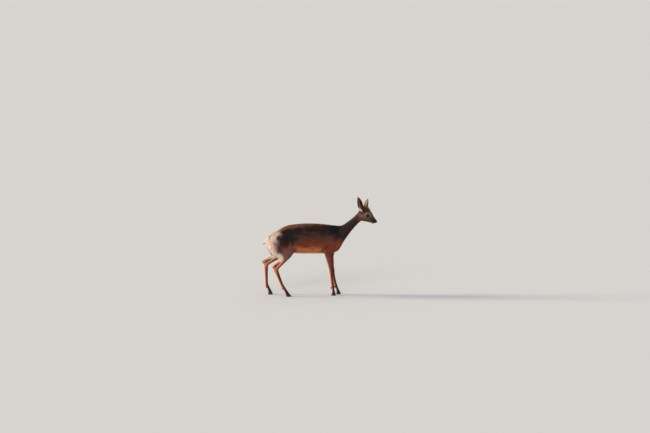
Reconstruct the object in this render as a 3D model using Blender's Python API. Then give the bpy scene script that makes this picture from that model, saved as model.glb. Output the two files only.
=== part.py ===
"""A dik-dik, a dwarf antelope, standing at life size as a still museum model.

Metres, +Z up. The animal looks along +X and its right flank faces -Y. The floor is z = 0. Sizes in the
tables are in millimetres, in the animal's own profile, with x forward from the middle of the stance.
The body is lofted from profile sections, fused, smoothed, and then parted by thin cuts.
"""

import math

import bmesh
import bpy
import numpy as np
from mathutils import Matrix, Vector

MM = 0.001
GAP = 0.3

# Driving sizes of the animal.
WITHERS_Z = 380
BACK_Z = 394
BELLY_Z = 226
CHEST_HALF_WIDTH = 54
NECK_HALF_WIDTH = 21
FORE_STANCE = 21
HIND_STANCE = 41
FEMUR = 94
TIBIA = 124

# How far the tables' origin is moved, so that the model's own middle stands over the origin.
STANCE_SHIFT = (4.1, -2.8)

# Mesh sizes of the fused body and of the parts that come out of it.
VOXEL = 2.2
RING_SIDES = 32
HEAD_FACES = 3200
TRUNK_FACES = 4450

# The head's own frame: its origin is the joint with the neck, +x runs along the palate to the nose.
HEAD_JOINT = (216, -3, 424)
HEAD_PITCH = 22
HEAD_YAW = 28
HEAD_ROLL = 4

EYE_CENTRE = (44.5, 15.0, 34.6)
EYE_RADIUS = 11.4
LID_THICKNESS = 1.6

RIGHT = -1
LEFT = 1
SIDES = {"right": RIGHT, "left": LEFT}


def clear_scene():
    for obj in list(bpy.data.objects):
        bpy.data.objects.remove(obj, do_unlink=True)


def material(name, colour, roughness):
    made = bpy.data.materials.new(name)
    made.use_nodes = True
    shader = made.node_tree.nodes["Principled BSDF"]
    shader.inputs["Base Color"].default_value = (*colour, 1)
    shader.inputs["Roughness"].default_value = roughness
    shader.inputs["Metallic"].default_value = 0
    made.diffuse_color = (*colour, 1)
    return made


def new_object(name, mesh):
    obj = bpy.data.objects.new(name, mesh)
    bpy.context.scene.collection.objects.link(obj)
    return obj


def object_from_bmesh(name, bm):
    mesh = bpy.data.meshes.new(name)
    bm.to_mesh(mesh)
    bm.free()
    return new_object(name, mesh)


def apply_modifiers(obj):
    """Writes the modifiers' result into the object's own mesh."""
    graph = bpy.context.evaluated_depsgraph_get()
    mesh = bpy.data.meshes.new_from_object(obj.evaluated_get(graph))
    obj.modifiers.clear()
    old = obj.data
    obj.data = mesh
    bpy.data.meshes.remove(old)
    return obj


def triangle_count(obj):
    obj.data.calc_loop_triangles()
    return len(obj.data.loop_triangles)


# Smooth tables: each column of a table of stations runs through its values on a Catmull-Rom curve.

def smooth_rows(rows, steps):
    """The rows of a table, with steps - 1 more rows between each two, on a smooth curve."""
    table = np.array(rows, float)
    padded = np.vstack([2 * table[0] - table[1], table, 2 * table[-1] - table[-2]])
    made = []
    for i in range(len(table) - 1):
        a, b, c, d = padded[i : i + 4]
        for k in range(steps):
            t = k / steps
            made.append(
                0.5
                * (
                    2 * b
                    + (c - a) * t
                    + (2 * a - 5 * b + 4 * c - d) * t**2
                    + (3 * b - a - 3 * c + d) * t**3
                )
            )
    made.append(table[-1])
    return np.array(made)


def loft(name, rings):
    """A closed skin over rings of points in millimetres, each with the same number of points."""
    bm = bmesh.new()
    rows = [[bm.verts.new(Vector(point) * MM) for point in ring] for ring in rings]
    count = len(rows[0])
    for low, high in zip(rows, rows[1:]):
        for i in range(count):
            k = (i + 1) % count
            bm.faces.new((low[i], low[k], high[k], high[i]))
    for end in (rows[0], rows[-1]):
        middle = bm.verts.new(sum((v.co for v in end), Vector()) / count)
        for i in range(count):
            bm.faces.new((end[i], end[(i + 1) % count], middle))
    bmesh.ops.recalc_face_normals(bm, faces=bm.faces)
    return object_from_bmesh(name, bm)


def superellipse(angle, square):
    """A point of a rounded outline, 1 across and 1 up, with fuller corners as square grows over 2."""
    side, up = math.sin(angle), math.cos(angle)
    power = 2 / square
    return math.copysign(abs(side) ** power, side), math.copysign(abs(up) ** power, up)


# The trunk and neck: top x and z, bottom x and z, half width, middle y, and egg, which widens the top
# of a section when it is over 0 and the bottom when it is under 0.

TRUNK = [
    (-291, 300, -289, 280, 9, 0, 0.0),
    (-284, 315, -278, 264, 24, 0, 0.0),
    (-262, 332, -254, 246, 36, 0, 0.05),
    (-232, 353, -224, 240, 41, 0, 0.08),
    (-202, 373, -192, 236, 44, 0, 0.08),
    (-172, 385, -160, 231, 46, 0, 0.0),
    (-130, 391, -118, 227, 50, 0, -0.1),
    (-80, BACK_Z, -74, BELLY_Z, CHEST_HALF_WIDTH, 0, -0.16),
    (-28, BACK_Z - 1, -24, BELLY_Z, CHEST_HALF_WIDTH - 1, 0, -0.16),
    (22, 389, 24, BELLY_Z, 49, 0, -0.14),
    (66, 383, 68, BELLY_Z + 3, 44, 0, -0.1),
    (98, WITHERS_Z, 100, 243, 38, 0, -0.05),
    (117, 381, 128, 288, 32, 0, 0.0),
    (130, 387, 152, 323, 26, 0, 0.0),
    (146, 398, 177, 355, 23, 0, 0.0),
    (166, 414, 197, 379, NECK_HALF_WIDTH + 0.5, -1, 0.0),
    (186, 430, 214, 396, NECK_HALF_WIDTH, -2, 0.0),
    (204, 446, 226, 408, NECK_HALF_WIDTH, -3, 0.0),
    (217, 458, 236, 420, NECK_HALF_WIDTH - 1, -6, 0.0),
    (230, 466, 247, 426, NECK_HALF_WIDTH - 5, -11, 0.0),
]
TRUNK_SQUARE = 2.15


def trunk():
    rings = []
    for top_x, top_z, low_x, low_z, half_width, y, egg in smooth_rows(TRUNK, 4):
        middle = np.array([(top_x + low_x) / 2, y, (top_z + low_z) / 2])
        up_half = np.array([(top_x - low_x) / 2, 0, (top_z - low_z) / 2])
        ring = []
        for i in range(RING_SIDES):
            side, up = superellipse(2 * math.pi * i / RING_SIDES, TRUNK_SQUARE)
            across = np.array([0, half_width * side * (1 + egg * up), 0])
            ring.append(middle + up_half * up + across)
        rings.append(ring)
    return loft("trunk", rings)


# Limbs: each station is x, z, y out from the middle plane, then how far the limb reaches in front of
# that point, behind it, and to each side.

def limb(name, stations, side, sides=20, square=2.1, steps=4):
    rows = smooth_rows(stations, steps)
    path = rows[:, :2]
    along = np.gradient(path, axis=0)
    along /= np.linalg.norm(along, axis=1)[:, None]
    rings = []
    for (x, z, y, front, back, half_width), (run_x, run_z) in zip(rows, along):
        ahead = np.array([-run_z, 0, run_x])
        ring = []
        for i in range(sides):
            across, fore = superellipse(2 * math.pi * i / sides, square)
            reach = front if fore > 0 else back
            point = np.array([x, side * y, z]) + ahead * reach * fore
            point[1] += half_width * across
            ring.append(point)
        rings.append(ring)
    return loft(name, rings)


# The joints of each leg in profile, as x and z, and the hoof's heel and toe on the floor, all of
# the photo's own stance. "thigh" is where the hind leg parts from the trunk, and how that cut slopes.

FORE = {
    "right": {
        "elbow": (33, 243), "knee": (58.5, 130), "fetlock": (67, 54), "coronet": (72, 17),
        "heel": 59.5, "toe": 84,
    },
    "left": {
        "elbow": (57, 243), "knee": (70, 131), "fetlock": (85.5, 54), "coronet": (100, 17),
        "heel": 90, "toe": 115,
    },
}
HIND = {
    "right": {
        "hip": (-205, 325), "hock": (-241, 149), "fetlock": (-205, 57), "coronet": (-180, 18),
        "heel": -184, "toe": -156, "thigh": (-196, 203, 23),
    },
    "left": {
        "hip": (-205, 325), "hock": (-289, 166), "fetlock": (-287, 55), "coronet": (-269, 17.5),
        "heel": -279, "toe": -253, "thigh": (-225, 204, 6),
    },
}
FORE_CUT_Z = 221
KNEE_CUT = 0.17
HOCK_CUT = 0.2


def between(a, b, share):
    return tuple(p + (q - p) * share for p, q in zip(a, b))


def unit(a, b):
    length = math.dist(a, b)
    return ((b[0] - a[0]) / length, (b[1] - a[1]) / length)


def stifle_of(joints):
    """Where the two upper bones of a hind leg meet, in front of the line from hip to hock."""
    hip, hock = joints["hip"], joints["hock"]
    apart = math.dist(hip, hock)
    along = (FEMUR**2 - TIBIA**2 + apart**2) / (2 * apart)
    out = math.sqrt(FEMUR**2 - along**2)
    run = unit(hip, hock)
    return (hip[0] + run[0] * along - run[1] * out, hip[1] + run[1] * along + run[0] * out)


def fore_leg(side_name):
    """The shoulder blade and upper arm, and below them the leg with its knee, fetlock and pastern."""
    side = SIDES[side_name]
    elbow, knee, fetlock, coronet = (
        FORE[side_name][k] for k in ("elbow", "knee", "fetlock", "coronet")
    )
    shoulder = [
        (74, 368, 17, 16, 18, 9),
        (78, 338, 25, 27, 30, 15),
        (78, 303, 29, 32, 38, 17),
        (66, 270, 31, 31, 36, 17),
        (elbow[0] + 14, elbow[1] + 2, 31, 24, 28, 15.5),
        (elbow[0] + 13, elbow[1] - 16, 30, 14, 15, 9),
    ]
    leg = [
        (elbow[0] + 12, elbow[1] + 18, 31, 22, 26, 14),
        (elbow[0] + 10, elbow[1] - 6, 30, 20, 22, 14),
        (*between(elbow, knee, 0.25), 28, 17.5, 15, 12.5),
        (*between(elbow, knee, 0.5), 26, 14, 11.5, 11),
        (*between(elbow, knee, 0.78), 24, 10.5, 9, 9),
        (*between(elbow, knee, 0.93), 23, 10.5, 9.5, 9.3),
        (*between(knee, fetlock, 0.06), 22.5, 10.5, 10, 9.5),
        (*between(knee, fetlock, 0.2), 22, 8, 9.5, 7.8),
        (*between(knee, fetlock, 0.5), FORE_STANCE, 6.8, 8.8, 6.6),
        (*between(knee, fetlock, 0.84), FORE_STANCE, 7, 9.2, 7),
        (*fetlock, FORE_STANCE, 8.2, 9.2, 8.8),
        (*between(fetlock, coronet, 0.35), FORE_STANCE, 7.2, 7.8, 8.6),
        (*between(fetlock, coronet, 0.7), FORE_STANCE, 7, 6.8, 8.4),
        (*coronet, FORE_STANCE, 8.6, 8, 9.6),
        (*between(fetlock, coronet, 1.3), FORE_STANCE, 9, 8, 10),
    ]
    return [
        limb("shoulder_" + side_name, shoulder, side, square=1.8),
        limb("fore_" + side_name, leg, side),
    ]


def hind_leg(side_name):
    """The haunch, the thin shank with its heel tendon, and the long foot below the hock."""
    side = SIDES[side_name]
    hip, hock, fetlock, coronet = (HIND[side_name][k] for k in ("hip", "hock", "fetlock", "coronet"))
    stifle = stifle_of(HIND[side_name])
    haunch = [
        (*between(hip, stifle, -0.3), 18, 30, 48, 14),
        (*between(hip, stifle, -0.1), 22, 44, 74, 21),
        (*between(hip, stifle, 0.2), 27, 50, 89, 25),
        (*between(hip, stifle, 0.5), 30, 46, 93, 26),
        (*between(hip, stifle, 0.8), 33, 32, 88, 23),
        (*between(hip, stifle, 1.02), 35, 18, 72, 17.5),
        (*between(hip, stifle, 1.15), 37, 8, 46, 10),
        (*between(hip, stifle, 1.22), 37, 3, 22, 4.5),
    ]
    shank = [
        (*between(stifle, hock, -0.12), 37, 15, 34, 17),
        (*between(stifle, hock, 0.12), 38, 19, 34, 17),
        (*between(stifle, hock, 0.34), 39, 17.5, 24, 13.5),
        (*between(stifle, hock, 0.56), 40, 13.5, 15, 10.5),
        (*between(stifle, hock, 0.78), 40.5, 10.5, 10, 9),
        (*between(stifle, hock, 0.94), HIND_STANCE, 10.5, 11, 9.3),
        (*between(stifle, hock, 1.04), HIND_STANCE, 9.5, 10, 9),
    ]
    foot = [
        (*between(hock, fetlock, -0.06), HIND_STANCE, 9.5, 12, 9),
        (*between(hock, fetlock, 0.05), HIND_STANCE, 10.8, 13, 9.6),
        (*between(hock, fetlock, 0.18), HIND_STANCE, 9.6, 12, 8.8),
        (*between(hock, fetlock, 0.4), HIND_STANCE, 8.0, 11, 7.6),
        (*between(hock, fetlock, 0.7), HIND_STANCE, 7.2, 10, 6.9),
        (*between(hock, fetlock, 0.9), HIND_STANCE, 7.4, 9.6, 7.2),
        (*fetlock, HIND_STANCE, 8.4, 9.4, 8.9),
        (*between(fetlock, coronet, 0.4), HIND_STANCE, 7.8, 8.2, 8.7),
        (*between(fetlock, coronet, 0.7), HIND_STANCE, 7.6, 7.4, 8.6),
        (*coronet, HIND_STANCE, 8.8, 8.2, 9.8),
        (*between(fetlock, coronet, 1.3), HIND_STANCE, 9.2, 8.2, 10),
    ]
    down = unit(hock, fetlock)
    heel = (hock[0] - 19 * abs(down[1]) + 9 * down[0], hock[1] + 17 * abs(down[1]))
    up = unit(stifle, hock)
    calf = between(stifle, hock, 0.36)
    calf = (calf[0] - 21 * abs(up[1]), calf[1] + 21 * abs(up[0]))
    bone = [
        (*between(heel, hock, 1.15), HIND_STANCE, 8, 8, 7.5),
        (*between(heel, hock, 0.5), HIND_STANCE, 8.2, 8.2, 7),
        (*heel, HIND_STANCE, 6.8, 6.8, 6),
        (*between(heel, hock, -0.25), HIND_STANCE, 3.5, 3.5, 3.5),
    ]
    tendon = [
        (*between(heel, calf, -0.08), HIND_STANCE, 5.5, 4.5, 4.8),
        (*between(heel, calf, 0.3), 40.5, 6, 3.8, 3.8),
        (*between(heel, calf, 0.7), 40, 9, 5, 4.6),
        (*between(heel, calf, 1.1), 39, 10, 7, 7),
    ]
    hollow = between(stifle, hock, 0.85)
    web = [
        (*between(hollow, heel, 0.5), 40.5, 9, 8, 3),
        (*between(between(stifle, hock, 0.6), between(heel, calf, 0.45), 0.5), 40.5, 11, 9, 3),
        (*between(between(stifle, hock, 0.34), calf, 0.5), 39.5, 14, 10, 6),
    ]
    return [
        limb("haunch_" + side_name, haunch, side, sides=24, square=1.8),
        limb("shank_" + side_name, shank, side),
        limb("foot_" + side_name, foot, side),
        limb("heel_" + side_name, bone, side, sides=14),
        limb("tendon_" + side_name, tendon, side, sides=14),
        limb("web_" + side_name, web, side, sides=14),
    ]


# The head, in its own frame. Each station of the skull and snout is x, top, bottom, the half widths
# of brow, cheek and jaw, and the heights of those three.

def head_matrix():
    """From the head's frame, in millimetres, to the animal's, in millimetres."""
    turn = (
        Matrix.Rotation(math.radians(-HEAD_YAW), 4, "Z")
        @ Matrix.Rotation(math.radians(HEAD_PITCH), 4, "Y")
        @ Matrix.Rotation(math.radians(HEAD_ROLL), 4, "X")
    )
    return Matrix.Translation(HEAD_JOINT) @ turn


HEAD = head_matrix()
HEAD_INVERSE = HEAD.inverted()

SKULL = [
    # x, top, bottom, brow, cheek, jaw, brow z, cheek z, jaw z
    (-16, 33, 2, 10, 13, 9, 28, 18, 7),
    (-8, 43, -7, 16.5, 19, 13, 34, 18, 0),
    (2, 49.5, -11, 19.5, 22.5, 15.5, 39, 18, -4),
    (14, 53, -12.5, 20.5, 24.5, 16, 42, 18, -6),
    (26, 54.5, -11, 20.5, 25, 15, 44, 19, -5),
    (38, 54, -7.5, 21, 24.5, 13.5, 45, 21, -2),
    (50, 51, -1.5, 19.5, 22, 11.8, 42, 21, 4),
    (60, 46, 3.5, 15.5, 18, 11, 36.5, 19.5, 8),
    (70, 40, 6.5, 12.6, 15.2, 11, 31, 18.5, 10.5),
    (79, 34, 7.8, 11, 13.6, 11, 26.8, 17.5, 11),
    (87, 29.6, 8.2, 10.5, 12.6, 10.6, 23.6, 17, 11),
    (93.5, 26.2, 9.4, 9.8, 11.3, 9.4, 21.5, 16.6, 12),
    (98.5, 22.8, 11.4, 7.6, 8.6, 7.0, 19.5, 16.6, 13.4),
    (101, 19.6, 14, 3.8, 4.4, 3.6, 18, 16.8, 15.2),
]
JAW = [
    (34, 12, -8.5, 12, 14, 8, 8, 2, -5),
    (46, 12, -5.5, 11.5, 12.5, 7, 8, 3, -2.5),
    (58, 11.5, -3, 10.8, 11.2, 6.4, 8, 4, 0),
    (70, 11.2, -1.4, 9.8, 10.2, 6, 8, 4.5, 1),
    (79, 11, -0.6, 9.2, 9.4, 5.6, 8, 5, 1.6),
    (85, 10.5, 0.6, 7.8, 8, 4.8, 8, 5.4, 2.6),
    (89, 9.4, 2.8, 4.6, 4.8, 3, 7.6, 6, 4),
]


def head_loft(name, stations, sides=28):
    """A loft whose sections run through brow, cheek and jaw points, mirrored left to right."""
    rings = []
    for x, top, low, brow, cheek, jaw, brow_z, cheek_z, jaw_z in smooth_rows(stations, 3):
        half = [
            (0, top), (brow * 0.62, top - (top - brow_z) * 0.28), (brow, brow_z),
            (cheek, cheek_z), (jaw, jaw_z), (jaw * 0.45, low + (jaw_z - low) * 0.18), (0, low),
        ]
        outline = half + [(-y, z) for y, z in reversed(half[1:-1])]
        closed = np.array(outline + outline[:3], float)
        ring = []
        count = len(outline)
        for i in range(sides):
            place = i * count / sides
            k = int(place)
            t = place - k
            a, b, c, d = (closed[(k + j - 1) % count] for j in range(4))
            y, z = 0.5 * (2 * b + (c - a) * t + (2 * a - 5 * b + 4 * c - d) * t**2
                          + (3 * b - a - 3 * c + d) * t**3)
            ring.append(HEAD @ Vector((x, y, z)))
        rings.append(ring)
    return loft(name, rings)


def ball(name, centre, radii, matrix=None, segments=24, rings=16):
    """An ellipsoid in millimetres, optionally placed by a matrix."""
    bm = bmesh.new()
    bmesh.ops.create_uvsphere(bm, u_segments=segments, v_segments=rings, radius=1)
    place = (matrix or Matrix.Identity(4)) @ Matrix.Translation(centre) @ Matrix.Diagonal((*radii, 1))
    bmesh.ops.transform(bm, matrix=place, verts=bm.verts)
    bmesh.ops.scale(bm, vec=(MM, MM, MM), verts=bm.verts)
    return object_from_bmesh(name, bm)


def eye_place(side):
    x, y, z = EYE_CENTRE
    return (x, side * y, z)


def head_masses():
    """Skull, lower jaw, the round of each orbit, and the bosses that carry the ears."""
    made = [head_loft("skull", SKULL), head_loft("jaw", JAW)]
    for side in SIDES.values():
        orbit = EYE_RADIUS + LID_THICKNESS
        made.append(ball("orbit", eye_place(side), (orbit, orbit, orbit), HEAD))
    return made


# Fusing, smoothing and thinning.

def fused(name, pieces, voxel):
    bm = bmesh.new()
    for piece in pieces:
        bm.from_mesh(piece.data)
        bpy.data.objects.remove(piece, do_unlink=True)
    obj = object_from_bmesh(name, bm)
    remesh = obj.modifiers.new("fuse", "REMESH")
    remesh.mode = "VOXEL"
    remesh.voxel_size = voxel * MM
    return apply_modifiers(obj)


def smooth_where(obj, weight_of, factor, rounds):
    group = obj.vertex_groups.new(name="soft")
    for vertex in obj.data.vertices:
        weight = weight_of(vertex.co / MM)
        if weight > 0:
            group.add([vertex.index], weight, "REPLACE")
    smooth = obj.modifiers.new("soften", "SMOOTH")
    smooth.factor = factor
    smooth.iterations = rounds
    smooth.vertex_group = group.name
    apply_modifiers(obj)
    obj.vertex_groups.clear()


def share(value, low, high):
    """0 below low, 1 above high, and a smooth rise between."""
    t = min(1, max(0, (value - low) / (high - low)))
    return t * t * (3 - 2 * t)


def trunk_weight(co):
    """How much of the strong smoothing a point takes: all of it on the trunk, none on head and feet."""
    return share(co.z, 165, 208) * (1 - share(co.x, 175, 205))


def head_weight(co):
    """The same for a gentler smoothing of the skull, which fades out toward the lips and nose."""
    along = (HEAD_INVERSE @ co).x
    return share(co.x, 175, 205) * (1 - share(along, 70, 94))


def thinned(obj, faces):
    obj.modifiers.new("triangles", "TRIANGULATE")
    apply_modifiers(obj)
    thin = obj.modifiers.new("thin", "DECIMATE")
    thin.ratio = min(1, faces / triangle_count(obj))
    return apply_modifiers(obj)


def copy_of(obj, name):
    made = new_object(name, obj.data.copy())
    return made


def bisect(obj, point, normal):
    """Keeps what lies on the side that normal points away from, with a flat face on the cut."""
    bm = bmesh.new()
    bm.from_mesh(obj.data)
    cut = bmesh.ops.bisect_plane(
        bm,
        geom=bm.verts[:] + bm.edges[:] + bm.faces[:],
        plane_co=Vector(point) * MM,
        plane_no=Vector(normal).normalized(),
        clear_outer=True,
        dist=1e-6,
    )
    edges = [e for e in cut["geom_cut"] if isinstance(e, bmesh.types.BMEdge)]
    bmesh.ops.edgenet_fill(bm, edges=edges)
    open_edges = [e for e in bm.edges if e.is_boundary]
    if open_edges:
        bmesh.ops.holes_fill(bm, edges=open_edges, sides=0)
    bmesh.ops.recalc_face_normals(bm, faces=bm.faces)
    bmesh.ops.triangulate(bm, faces=[f for f in bm.faces if len(f.verts) > 3])
    bm.to_mesh(obj.data)
    bm.free()
    return obj


def keep_largest(obj):
    """Removes every closed surface but the one with most faces."""
    bm = bmesh.new()
    bm.from_mesh(obj.data)
    left = set(bm.verts)
    islands = []
    while left:
        stack = [left.pop()]
        island = set(stack)
        while stack:
            for edge in stack.pop().link_edges:
                for vertex in edge.verts:
                    if vertex in left:
                        left.remove(vertex)
                        island.add(vertex)
                        stack.append(vertex)
        islands.append(island)
    islands.sort(key=len)
    for island in islands[:-1]:
        bmesh.ops.delete(bm, geom=list(island), context="VERTS")
    bm.to_mesh(obj.data)
    bm.free()
    return obj


def boolean(obj, other, operation, solver="EXACT", keep_other=False):
    change = obj.modifiers.new(operation.lower(), "BOOLEAN")
    change.operation = operation
    change.solver = solver
    change.object = other
    apply_modifiers(obj)
    if not keep_other:
        bpy.data.objects.remove(other, do_unlink=True)
    return obj


def wedge_box(name, centre, size, matrix=None):
    """A box in millimetres, placed by a matrix whose own unit is the millimetre."""
    bm = bmesh.new()
    bmesh.ops.create_cube(bm, size=1)
    place = (matrix or Matrix.Identity(4)) @ Matrix.Translation(centre) @ Matrix.Diagonal((*size, 1))
    bmesh.ops.transform(bm, matrix=place, verts=bm.verts)
    bmesh.ops.scale(bm, vec=(MM, MM, MM), verts=bm.verts)
    return object_from_bmesh(name, bm)


def finish(obj, name, finish_material):
    obj.name = name
    obj.data.name = name
    obj.data.materials.clear()
    obj.data.materials.append(finish_material)
    obj.data.shade_smooth()
    obj.data.set_sharp_from_angle(angle=math.radians(50))
    return obj


# The planes that part the body, each as a point and the direction in which the outer part lies.

NECK_CUT = ((200, 0, 413), (0.772, 0, 0.636))
CHEST_CUT = ((122.5, 0, 334), (0.993, 0, 0.117))
CORONET_TILT = 14


def shifted(plane, distance):
    point, normal = plane
    return (tuple(p + distance * n for p, n in zip(point, Vector(normal).normalized())), normal)


def turned(plane):
    point, normal = plane
    return (point, tuple(-n for n in normal))


def fore_top(side_name):
    return ((FORE[side_name]["elbow"][0], 0, FORE_CUT_Z), (0, 0, -1))


def thigh_cut(side_name):
    x, z, slope = HIND[side_name]["thigh"]
    slope = math.radians(slope)
    return ((x, 0, z), (math.sin(slope), 0, -math.cos(slope)))


def across(a, b, share_of_way):
    """The plane square to the line from a to b in profile, with its outer side toward b."""
    point, run = between(a, b, share_of_way), unit(a, b)
    return ((point[0], 0, point[1]), (run[0], 0, run[1]))


def coronet_cut(joints):
    x, z = joints["coronet"]
    tilt = math.radians(CORONET_TILT)
    return ((x, 0, z), (math.sin(tilt), 0, -math.cos(tilt)))


def side_plane(side_name):
    """Keeps one side of the animal, past the middle plane."""
    return ((0, 0, 0), (0, -SIDES[side_name], 0))


def cut_out(body, name, planes):
    """A copy of the body inside all the planes, as its one largest closed piece."""
    made = copy_of(body, name)
    for plane in planes:
        bisect(made, *shifted(plane, -GAP / 2))
    return keep_largest(made)


def leg_nodes(trunk_body, side_name, coat):
    """The upper and lower length of a fore and a hind leg, cut from the fused body."""
    fore, hind = FORE[side_name], HIND[side_name]
    own = side_plane(side_name)
    front_half, rear_half = ((-60, 0, 0), (-1, 0, 0)), ((-60, 0, 0), (1, 0, 0))
    knee = across(fore["knee"], fore["fetlock"], KNEE_CUT)
    hock = across(hind["hock"], hind["fetlock"], HOCK_CUT)
    made = {}
    for limb_name, half, top, middle, joints in (
        ("foreleg_", front_half, fore_top(side_name), knee, fore),
        ("hindleg_", rear_half, thigh_cut(side_name), hock, hind),
    ):
        name = limb_name + side_name
        upper = cut_out(trunk_body, name + "_upper", [own, half, turned(top), middle])
        lower = cut_out(
            trunk_body, name + "_lower", [own, half, turned(middle), coronet_cut(joints)]
        )
        made[upper.name] = finish(upper, name + "_upper", coat)
        made[lower.name] = finish(lower, name + "_lower", coat)
    return made


def without_legs(body):
    """Takes all four legs off the trunk, each by a box whose top face is that leg's cut."""
    size = 150
    for side_name, side in SIDES.items():
        fore_point, _ = fore_top(side_name)
        centre = (fore_point[0] + 20, side * (size / 2 + 0.5), FORE_CUT_Z + GAP / 2 - size)
        boolean(body, wedge_box("cutter", centre, (size, size, 2 * size)), "DIFFERENCE")
        x, z, slope = HIND[side_name]["thigh"]
        frame = Matrix.Translation((x, 0, z)) @ Matrix.Rotation(math.radians(-slope), 4, "Y")
        centre = (51 - size / 2, side * (size / 2 + 0.5), GAP / 2 - size)
        boolean(body, wedge_box("cutter", centre, (size, size, 2 * size), frame), "DIFFERENCE")
    return body


# Hooves: each foot has two, a near mirror pair with a narrow cleft between them. The outline of a
# hoof's sole runs from its heel (0) to its toe (1), and its width is a share of the foot's half width.

HOOF_OUTLINE = [
    (0.0, 0.26), (0.02, 0.56), (0.12, 0.86), (0.35, 1.0), (0.6, 0.93), (0.82, 0.7),
    (0.96, 0.42), (1.0, 0.27), (0.97, 0.13), (0.75, 0.075), (0.4, 0.07), (0.1, 0.08),
]
HOOF_TOP_ROUND = [0.28, 0.6, 0.88, 1.0, 0.98, 0.82, 0.55, 0.3, 0.13, 0.075, 0.07, 0.08]


def hoof(name, joints, stance, side, inner_or_outer, half_width, top_reach):
    """One hoof, from its flat sole on the floor up to the tilted edge of the coat."""
    x, z = joints["coronet"]
    tilt = math.radians(CORONET_TILT)
    heel, toe = joints["heel"], joints["toe"]
    rear, front = x - top_reach[1], x + top_reach[0]
    rings = []
    for level, bulge, inset in ((0, 0, 0.9), (0.1, 0.01, 0), (0.55, 0.03, 0), (1, 0, 0)):
        ring = []
        for (run, width), top_width in zip(HOOF_OUTLINE, HOOF_TOP_ROUND):
            low = Vector((heel + (toe - heel) * run, half_width * 1.03 * width, 0))
            high_x = rear + (front - rear) * run
            high_z = z - GAP / 2 - 0.02 + math.tan(tilt) * (high_x - x)
            high = Vector((high_x, half_width * 0.97 * top_width, high_z))
            point = low.lerp(high, level)
            middle = Vector((((heel + toe) / 2) * (1 - level) + x * level, half_width * 0.5, point.z))
            point += (point - middle) * bulge
            if inset:
                point += (middle - point).normalized() * inset
            point.y = max(point.y, 0.6)
            ring.append((point.x, side * stance + inner_or_outer * point.y, point.z))
        rings.append(ring)
    return loft(name, rings)


def foot_nodes(side_name, horn):
    side = SIDES[side_name]
    made = {}
    for limb_name, joints, stance, half_width, reach in (
        ("fore", FORE[side_name], FORE_STANCE, 9.4, (8.6, 7.8)),
        ("hind", HIND[side_name], HIND_STANCE, 9.6, (8.8, 8.0)),
    ):
        for half_name, way in (("inner", -side), ("outer", side)):
            name = f"hoof_{limb_name}_{side_name}_{half_name}"
            made[name] = finish(
                hoof(name, joints, stance, side, way, half_width, reach), name, horn
            )
    return made


DEWCLAW = (3.1, 2.9, 5.2)


def dewclaw_nodes(side_name, lower_legs, horn):
    """Two small horny claws behind each fetlock, each set in a socket of the leg."""
    side = SIDES[side_name]
    made = {}
    for limb_name, joints, stance in (
        ("fore", FORE[side_name], FORE_STANCE),
        ("hind", HIND[side_name], HIND_STANCE),
    ):
        leg = lower_legs[f"{limb_name}leg_{side_name}_lower"]
        run = unit(joints["fetlock"], joints["coronet"])
        x, z = between(joints["fetlock"], joints["coronet"], 0.3)
        back = (-abs(run[1]), -abs(run[0]))
        lean = math.atan2(run[0], -run[1])
        for half_name, way in (("inner", -side), ("outer", side)):
            place = Matrix.Translation(
                (x + back[0] * 8.6, side * stance + way * 5.0, z + back[1] * 8.6 * 0.6)
            ) @ Matrix.Rotation(-lean * 0.6, 4, "Y")
            name = f"dewclaw_{limb_name}_{side_name}_{half_name}"
            claw = ball(name, (0, 0, 0), DEWCLAW, place, segments=7, rings=5)
            roomy = tuple(r + GAP * 1.25 for r in DEWCLAW)
            boolean(leg, ball("socket", (0, 0, 0), roomy, place, segments=7, rings=5), "DIFFERENCE")
            made[name] = finish(claw, name, horn)
        keep_largest(leg)
    return made


# Ears: a leaf-shaped cup. Each station is the share of its length, then in millimetres the half
# width, the depth of the back of the cup, and the depth of its inner face, which bulges forward
# at the root, where the ear is solid.

EAR_LENGTH = 92
EAR = [
    (-0.05, 4.5, 4.5, -4.5),
    (0.05, 6.0, 6.0, -6.0),
    (0.12, 8.0, 8.2, -7.0),
    (0.18, 10.6, 10.8, -3.0),
    (0.24, 13.4, 12.6, 6.5),
    (0.30, 15.4, 13.2, 10.8),
    (0.42, 16.8, 12.4, 10.4),
    (0.55, 16.6, 10.8, 8.9),
    (0.67, 14.6, 8.8, 7.0),
    (0.78, 11.4, 6.6, 5.0),
    (0.87, 7.8, 4.6, 3.2),
    (0.94, 4.4, 3.0, 1.8),
    (0.985, 1.9, 1.6, 0.8),
    (1.0, 0.8, 0.9, 0.4),
]
# The root of each ear in the head's frame, the direction of its tip, and the way its cup opens.
EARS = {
    "right": ((9, -13, 37), (-0.27, -0.22, 0.94), (0.42, -0.86, 0.0)),
    "left": ((9, 13, 37), (0.295, 0.67, 0.61), (0.8, -0.55, 0.2)),
}
EAR_CURL = 7


def ear(side_name):
    root, tip, opening = EARS[side_name]
    root = HEAD @ Vector(root)
    up = Vector(tip).normalized()
    ahead = Vector(opening)
    ahead = (ahead - up * ahead.dot(up)).normalized()
    wide = up.cross(ahead)
    rings = []
    for t, half_width, back, inner in smooth_rows(EAR, 1):
        centre = root + up * EAR_LENGTH * t - ahead * EAR_CURL * max(0, t - 0.25) ** 2
        rim = min(1.1, half_width * 0.3)
        ring = []
        for i in range(9):
            angle = math.pi * (i / 8 - 0.5)
            ring.append(centre + wide * half_width * math.sin(angle) - ahead * back * math.cos(angle))
        for i in range(7):
            angle = math.pi * (0.5 - (i + 0.5) / 7)
            reach = math.cos(angle)
            side_on = (half_width - rim) * math.sin(angle)
            ring.append(centre + wide * side_on - ahead * inner * reach)
        rings.append(ring)
    return loft("ear_" + side_name, rings)


# Locks: flat tapered tufts of hair, each on a bent path from its root inside the flesh to its tip.

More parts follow.
